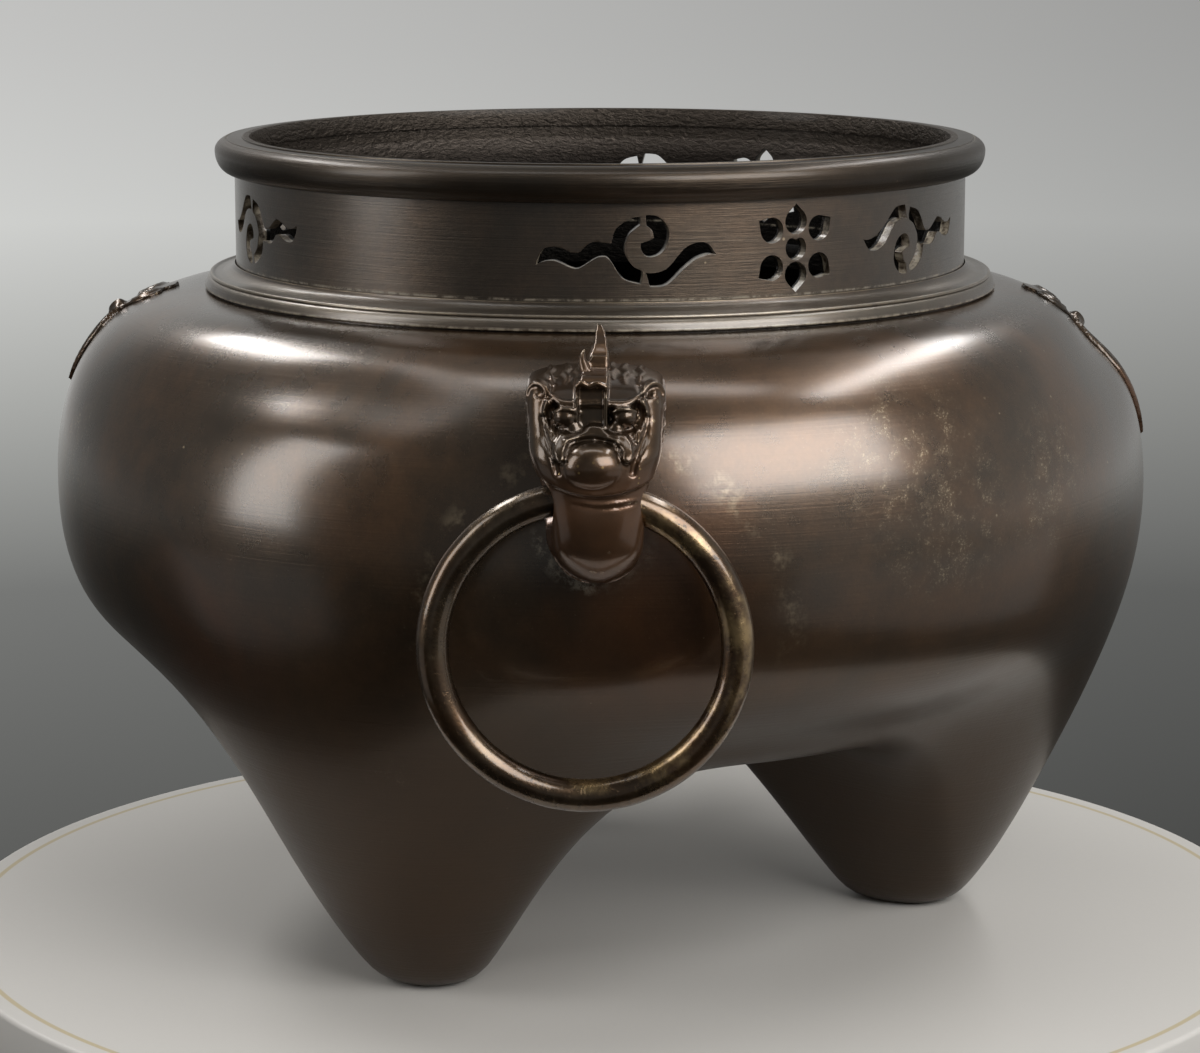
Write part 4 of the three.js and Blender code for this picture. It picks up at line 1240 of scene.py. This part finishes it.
def head_mesh():
    bm = bmesh.new()
    snout_and_face(bm)
    forehead(bm)
    crest(bm)
    ears_and_eyes(bm)
    mane(bm)
    pod(bm, (10.7, -0.6, 10.6), (7.2, 9.2, 7.2))
    bmesh.ops.triangulate(bm, faces=bm.faces)
    turn_outwards(bm)
    return plain_mesh(bm, "rough_head")


def eye_cutter():
    """Room for the ring through the head: wider to the sides, where the ring bends away."""
    half_width, rows, clearance, farthest_side = 22.0, 16, 0.5, 24
    profile = [(0, -half_width)]
    for i in range(rows + 1):
        side = blend(-half_width, half_width, i / rows)
        farthest = min(abs(side) + abs(RING_SLIDE), farthest_side)
        inner = math.sqrt((RING_RADIUS - WIRE_RADIUS) ** 2 - farthest ** 2)
        profile.append((RING_RADIUS - inner + clearance, side))
    profile.append((0, half_width))
    bm = turned(profile, 48)
    across = Matrix.Rotation(-math.pi / 2, 3, "X")
    bmesh.ops.rotate(bm, verts=bm.verts, cent=(0, 0, 0), matrix=across)
    return plain_mesh(bm, "eye_cutter")


def filled_belly(margin):
    """The belly grown by a margin and closed over the mouth, to trim what sits on it."""
    rows = [(along, margin, False) for along in reversed(row_places(80))]
    rows.append((0, MOUTH_HEIGHT + margin, True))
    return plain_mesh(belly_skin(rows, 180), "belly_trim")


def tenon_mesh(angle, along):
    """Shank through the belly wall with a peened head inside."""
    place, normal = belly_point(angle, along), belly_normal(angle, along)
    turn = UP.rotation_difference(normal).to_matrix().to_4x4()
    profile = ((0, -9.0), (3.6, -9.0), (5.4, -8.4), (6, -7.4), (6, -6.9), (4, -6.9), (4, 5), (0, 5))
    bm = turned(profile, 32)
    bmesh.ops.transform(bm, matrix=Matrix.Translation(place) @ turn, verts=bm.verts)
    return plain_mesh(bm, "tenon")


def lug_mesh(name, grain):
    """The lug on the side of -X, in millimetres."""
    angle = math.pi
    place = Matrix.Rotation(angle, 4, "Z") @ Matrix.Translation((EYE_RADIUS, 0, EYE_HEIGHT))
    head, cutter = head_mesh(), eye_cutter()
    head.transform(place)
    cutter.transform(place)
    cutters = [placed(cutter, "eye"), placed(filled_belly(TRIM_MARGIN), "trim")]
    tenons = [placed(tenon_mesh(angle, along), "tenon") for along in TENON_PLACES]
    steps = [
        ("REMESH", {"mode": "VOXEL", "voxel_size": grain}),
        ("SMOOTH", {"factor": 0.5, "iterations": 3}),
    ]
    steps += [
        ("BOOLEAN", {"object": item, "operation": operation, "solver": "MANIFOLD"})
        for operation, items in (("DIFFERENCE", cutters), ("UNION", tenons)) for item in items
    ]
    cast = with_modifiers(head, steps)
    for helper in cutters + tenons:
        bpy.data.objects.remove(helper)
    cast.name = name
    return cast


class BRAZIER_OT_lugs(bpy.types.Operator):
    """Two beast-head lugs, each with the eye its ring hangs in"""

    bl_idname = "brazier.lugs"
    bl_label = "Beast-head lugs"

    def execute(self, context):
        grain = context.scene.brazier_lugs.grain / MM
        finish = carved_finish(context.scene.brazier_bronze, "carved_bronze", 0.6)
        source = lug_mesh("cast_head", grain)
        for side, mirror in (("left", 1), ("right", -1)):
            bm = bmesh.new()
            bm.from_mesh(source)
            bmesh.ops.scale(bm, vec=(mirror, 1, 1), verts=bm.verts)
            turn_outwards(bm)
            shade(bm, 75)
            name = f"head_{side}"
            dress(metric_mesh(bm, name), name, finish, [f"lug_{side}"])
        return {"FINISHED"}


class BRAZIER_OT_rings(bpy.types.Operator):
    """Two hanging rings of forged wire"""

    bl_idname = "brazier.rings"
    bl_label = "Hanging rings"

    def execute(self, context):
        wander = context.scene.brazier_lugs.ring_waviness / MM
        finish = ring_finish(context.scene.brazier_bronze)
        radius = WIRE_RADIUS - 0.05
        section = arc((RING_RADIUS, 0), (radius, radius), 0, 360, 28)[:-1]
        stand = Matrix.Rotation(math.pi / 2, 4, "Y")
        place = Matrix.Translation((EYE_RADIUS, RING_SLIDE, RING_MIDDLE))
        for side, angle in (("right", 0.0), ("left", math.pi)):
            bm = turned(section, 180, closed=True)
            for vert in bm.verts:
                flat = Vector((vert.co.x, vert.co.y, 0)).normalized() * RING_RADIUS
                drift = noise.fractal(vert.co / 14, 1.0, 2.0, 3) * wander
                vert.co = flat + (vert.co - flat) * (1 - abs(drift) / WIRE_RADIUS)
            turn = Matrix.Rotation(angle, 4, "Z") @ place @ stand
            bmesh.ops.transform(bm, matrix=turn, verts=bm.verts)
            shade(bm)
            name, body = f"hanging_ring_{side}", f"{side}_handle_ring"
            dress(metric_mesh(bm, name), name, finish, [f"ring_{side}"], body)
        return {"FINISHED"}


# Leaf mounts on the shoulder

MOUNT_TOP = 12
HEAD_LENGTH = 22
MOUNT_NECK = MOUNT_TOP + HEAD_LENGTH
HEAD_HALF = 14
LEAF_HALF = 9
KNOB_RADIUS = 3.2
# Heights over the belly: the back, the border and the field of a mount
MOUNT_BACK, MOUNT_BORDER, MOUNT_FIELD = 0.05, 0.45, 0.75


def mount_half_outline(leaf):
    """Half of a mount's outline, across and down from the mouth: the head, then the leaf."""
    head = (
        (0, 0), (0.34, 1.1), (0.5, 4.4), (0.86, 5.5), (1, 10.1), (0.82, 15), (0.46, 18.5),
        (0.3, HEAD_LENGTH),
    )
    blade = ((0.86, 0.22), (1, 0.45), (0.66, 0.76), (0, 1))
    return [
        *((HEAD_HALF * across, MOUNT_TOP + down) for across, down in head),
        *((LEAF_HALF * across, MOUNT_NECK + leaf * down) for across, down in blade),
    ]


def segment_distance(point, start, end):
    span = end - start
    share = clamp((point - start).dot(span) / span.length_squared)
    return (point - (start + span * share)).length


def mount_ridges(leaf):
    """Raised lines of a mount: two curls on the head, a midrib and side veins on the leaf."""
    midrib = [(0, MOUNT_NECK - 2), (0, MOUNT_NECK + leaf * 0.5), (0, MOUNT_NECK + leaf)]
    lines = [smooth_path(midrib, 8)]
    for side in (1, -1):
        curl = []
        for i in range(40):
            size = blend(5.4, 0.7, i / 39)
            angle = math.radians(blend(60, -480, i / 39))
            across, down = size * math.cos(angle), size * math.sin(angle)
            curl.append(Vector((side * (6.6 + across), MOUNT_TOP + 10.4 + down)))
        lines.append(curl)
        for i in range(6):
            root = MOUNT_NECK + leaf * (0.1 + 0.13 * i)
            size = side * LEAF_HALF * (0.62 - 0.05 * abs(i - 2))
            vein = ((0, root), (size * 0.6, root + 2.4), (size, root + 6))
            lines.append([Vector(point) for point in vein])
        lines.append([Vector((side * x * 0.86, y)) for x, y in mount_half_outline(leaf)[7:]])
    return lines


def mount_mesh(name, angle, leaf, relief):
    """A mount drawn flat, raised along its ridges and laid on the belly."""
    half = mount_half_outline(leaf)
    edge = [(point.x, point.y) for point in smooth_path(half, 4)] + [half[-1]]
    bm = bmesh.new()
    fill_outlines(bm, [edge + [(-x, y) for x, y in reversed(edge[1:-1])]])
    slice_across(bm, 0, -HEAD_HALF, HEAD_HALF, 0.7)
    slice_across(bm, 1, MOUNT_TOP, MOUNT_NECK + leaf, 0.8)
    border = {vert for item in bm.edges if len(item.link_faces) == 1 for vert in item.verts}
    pieces = [pair for line in mount_ridges(leaf) for pair in zip(line, line[1:])]
    for vert in bm.verts:
        point = Vector((vert.co.x, vert.co.y))
        near = min(segment_distance(point, start, end) for start, end in pieces)
        crown = 0.35 * clamp(1 - abs(point.x) / HEAD_HALF)
        from_knob = (point - Vector((0, MOUNT_NECK))).length_squared
        knob = max(0.0, KNOB_RADIUS ** 2 - from_knob) ** 0.5
        lift = MOUNT_FIELD + crown + relief * math.exp(-((near / 0.85) ** 2)) + knob * 0.55
        vert.co.z = MOUNT_BORDER if vert in border else lift
    for vert in pull(bm, bm.faces[:]):
        vert.co.z = MOUNT_BACK
    for vert in bm.verts:
        side, distance, height = vert.co
        along = along_after(angle, distance)
        spot = angle + side / Vector(belly_point(angle, along).xy).length
        vert.co = belly_point(spot, along) + belly_normal(spot, along) * (height - SKIN_INSET)
    turn_outwards(bm)
    shade(bm, 60)
    return metric_mesh(bm, name)


class BRAZIER_OT_mounts(bpy.types.Operator):
    """Leaf mounts riveted to the shoulder over the front leg and at the back"""

    bl_idname = "brazier.mounts"
    bl_label = "Leaf mounts"

    def execute(self, context):
        relief = context.scene.brazier_lugs.mount_relief / MM
        finish = carved_finish(context.scene.brazier_bronze, "mount_bronze", 0.3)
        for side, angle, leaf in (("front", FRONT_LEG, 46), ("back", FRONT_LEG + math.pi, 30)):
            name = f"leaf_{side}"
            dress(mount_mesh(name, angle, leaf, relief), name, finish, [f"mount_{side}"])
        return {"FINISHED"}


class BRAZIER_OT_rivets(bpy.types.Operator):
    """Finish of the washers under the lugs' peened tenons"""

    bl_idname = "brazier.rivets"
    bl_label = "Washers"

    def execute(self, context):
        finish = rivet_finish(context.scene.brazier_bronze)
        for name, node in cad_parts.items():
            if name.startswith("rove"):
                node.data.materials.clear()
                node.data.materials.append(finish)
        return {"FINISHED"}


# Stage

TABLE_MIDDLE = (-9.8, -4.3)
GILT_LINE = 217.5
TABLE_ROUNDING = 1.6


def table_finish(colour):
    """Off-white enamel with a thin gilt line near its edge."""
    finish = Finish("table_top")
    cloud = finish.noise(6.0, 3.0, 0.5)
    grain = finish.noise(500.0, 3.0, 0.6)
    tone = finish.mix(cloud * 0.12 + grain * 0.06, colour, [value * 0.88 for value in colour])
    from_middle = diagonal(finish.x - TABLE_MIDDLE[0], finish.y - TABLE_MIDDLE[1])
    line = from_middle.bump_at(GILT_LINE, 1.3).steps(0.1, 0.5)
    tone = finish.mix(line * 0.75, tone, (0.50, 0.40, 0.20))
    return finish.surface({
        "Base Color": tone, "Roughness": 0.42 + grain * 0.1, "Normal": finish.bump(grain, 0.00003),
    })


def studio_world(scene):
    """Grey sweep: lighter above and behind, dark on the camera's side and towards the floor."""
    finish = Finish("studio", world=True)
    scene.world = finish.owner
    x, y, z = finish.x, finish.y, finish.z
    level = finish.ramp(z.steps(-0.36, 0.12), (
        (0.0, (0.07, 0.071, 0.068)), (0.26, (0.175, 0.178, 0.172)), (0.42, (0.40, 0.405, 0.39)),
        (0.56, (0.60, 0.605, 0.59)), (0.70, (0.53, 0.53, 0.52)), (1.0, (0.42, 0.42, 0.41)),
    ))
    facing = (x * 0.62 + 0.50).larger(0.27).smaller(1.0)
    slant = (y * 1.15 + 0.84).larger(0.45).smaller(1.05) * (1 - y.steps(0.2, 0.7) * 0.55)
    right_side = (y * -1.4 - 0.25).larger(0.0) * 0.55
    overhead = 1 - z.steps(0.25, 0.8) * 0.45
    background = finish.add("ShaderNodeBackground", {}, {
        "Color": level, "Strength": (facing * slant + right_side) * overhead,
    })
    finish.add("ShaderNodeOutputWorld", {}, {"Surface": background.outputs[0]})


# Softboxes that face the brazier: bearing from the camera to the picture's left, elevation,
# distance, width, height, radiance
SOFTBOXES = (
    ("left_tall", 70, 22, 1.8, 0.60, 1.50, 3.6),
    ("left_low", 75, -20, 1.6, 1.2, 0.5, 0.22),
    ("right_front", -39, 30, 1.7, 1.32, 1.06, 5.3),
    ("right_low", -72, -22, 1.6, 2.0, 0.6, 0.27),
)
# Panels overhead that face down: place away from the camera, to the picture's left and up,
# length, width, radiance
PANELS = (
    ("panel_left", 1.07, 1.18, 1.75, 1.42, 0.36, 11.0),
    ("panel_left_near", -0.20, 0.80, 1.75, 0.8, 0.22, 1.5),
    ("panel_right", 0.90, -0.98, 1.75, 2.4, 0.20, 9.0),
    ("panel_middle", -0.25, 0.0, 1.75, 0.25, 1.3, 3.0),
)
LAMP_AIM = 0.15
CAMERA_BEARING = math.radians(180.4)
CAMERA_DISTANCE = 1207.3 * MM
CAMERA_HEIGHT = 356.3 * MM
CAMERA_PITCH = 0.186
FOCAL_PIXELS = 3625.55
PICTURE_WIDTH = 1200
SENSOR = 36.0


class BRAZIER_OT_stage(bpy.types.Operator):
    """Round table top, studio light and the camera"""

    bl_idname = "brazier.stage"
    bl_label = "Stage"

    def execute(self, context):
        scene = context.scene
        settings = scene.brazier_stage
        self.table(settings)
        studio_world(scene)
        level = settings.light_level
        for name, bearing, elevation, distance, width, height, radiance in SOFTBOXES:
            angle, rise = CAMERA_BEARING - math.radians(bearing), math.radians(elevation)
            level_way = Vector((math.cos(angle), math.sin(angle), 0))
            direction = level_way * math.cos(rise) + UP * math.sin(rise)
            turn = direction.to_track_quat("Z", "Y").to_euler()
            place = direction * distance + UP * LAMP_AIM
            self.lamp(scene, name, place, turn, width, height, radiance * level)
        for name, away, left, up, length, width, radiance in PANELS:
            place = (away, left, up)
            self.lamp(scene, name, place, (0, 0, 0), length, width, radiance * level)
        self.camera(scene)
        scene.view_settings.view_transform = "Standard"
        return {"FINISHED"}

    def table(self, settings):
        radius, depth = settings.table_radius / MM, settings.table_thickness / MM
        bm = turned([(0, 0), (radius, 0), (radius, -depth), (0, -depth)], 256)
        bevel(bm, corners(bm, 30), TABLE_ROUNDING, segments=4)
        bmesh.ops.translate(bm, verts=bm.verts, vec=(*TABLE_MIDDLE, 0))
        shade(bm)
        mesh = metric_mesh(bm, "table_top")
        mesh.materials.append(table_finish(settings.table_colour))
        placed(mesh, "table_top")

    def lamp(self, scene, name, place, turn, width, height, radiance):
        light = bpy.data.lights.new(name, "AREA")
        light.shape = "RECTANGLE"
        light.size, light.size_y = width, height
        light.energy = radiance * math.pi * width * height
        lamp = bpy.data.objects.new(name, light)
        lamp.location = place
        lamp.rotation_euler = turn
        scene.collection.objects.link(lamp)

    def camera(self, scene):
        data = bpy.data.cameras.new("camera")
        data.sensor_width = SENSOR
        data.lens = FOCAL_PIXELS / PICTURE_WIDTH * SENSOR
        camera = bpy.data.objects.new("camera", data)
        camera.location = (
            CAMERA_DISTANCE * math.cos(CAMERA_BEARING),
            CAMERA_DISTANCE * math.sin(CAMERA_BEARING), CAMERA_HEIGHT,
        )
        camera.rotation_euler = (math.pi / 2 - CAMERA_PITCH, 0, CAMERA_BEARING + math.pi / 2)
        scene.collection.objects.link(camera)
        scene.camera = camera


class BRAZIER_PT_panel(bpy.types.Panel):
    """Lists the brazier's pieces"""

    bl_idname = "BRAZIER_PT_panel"
    bl_label = "Tea Brazier"
    bl_space_type = "VIEW_3D"
    bl_region_type = "UI"
    bl_category = "Brazier"

    def draw(self, context):
        for operator in OPERATORS:
            self.layout.operator(operator.bl_idname)
        for name in GROUPS:
            box = self.layout.box()
            for field in GROUPS[name].__annotations__:
                box.prop(getattr(context.scene, name), field)


GROUPS = {
    "brazier_belly": BellySizes,
    "brazier_neck": NeckSizes,
    "brazier_lugs": LugSizes,
    "brazier_bronze": BronzeColours,
    "brazier_stage": StageSettings,
}
OPERATORS = (
    BRAZIER_OT_stage,
    BRAZIER_OT_belly,
    BRAZIER_OT_neck,
    BRAZIER_OT_lugs,
    BRAZIER_OT_rings,
    BRAZIER_OT_mounts,
    BRAZIER_OT_rivets,
)


def register():
    for item in (*GROUPS.values(), *OPERATORS, BRAZIER_PT_panel):
        bpy.utils.register_class(item)
    for name, group in GROUPS.items():
        setattr(bpy.types.Scene, name, PointerProperty(type=group))


def unregister():
    for name in GROUPS:
        delattr(bpy.types.Scene, name)
    for item in reversed((*GROUPS.values(), *OPERATORS, BRAZIER_PT_panel)):
        bpy.utils.unregister_class(item)


def main():
    register()
    for operator in OPERATORS:
        group, name = operator.bl_idname.split(".")
        getattr(getattr(bpy.ops, group), name)()
    bpy.context.view_layer.update()


if __name__ == "__main__":
    main()
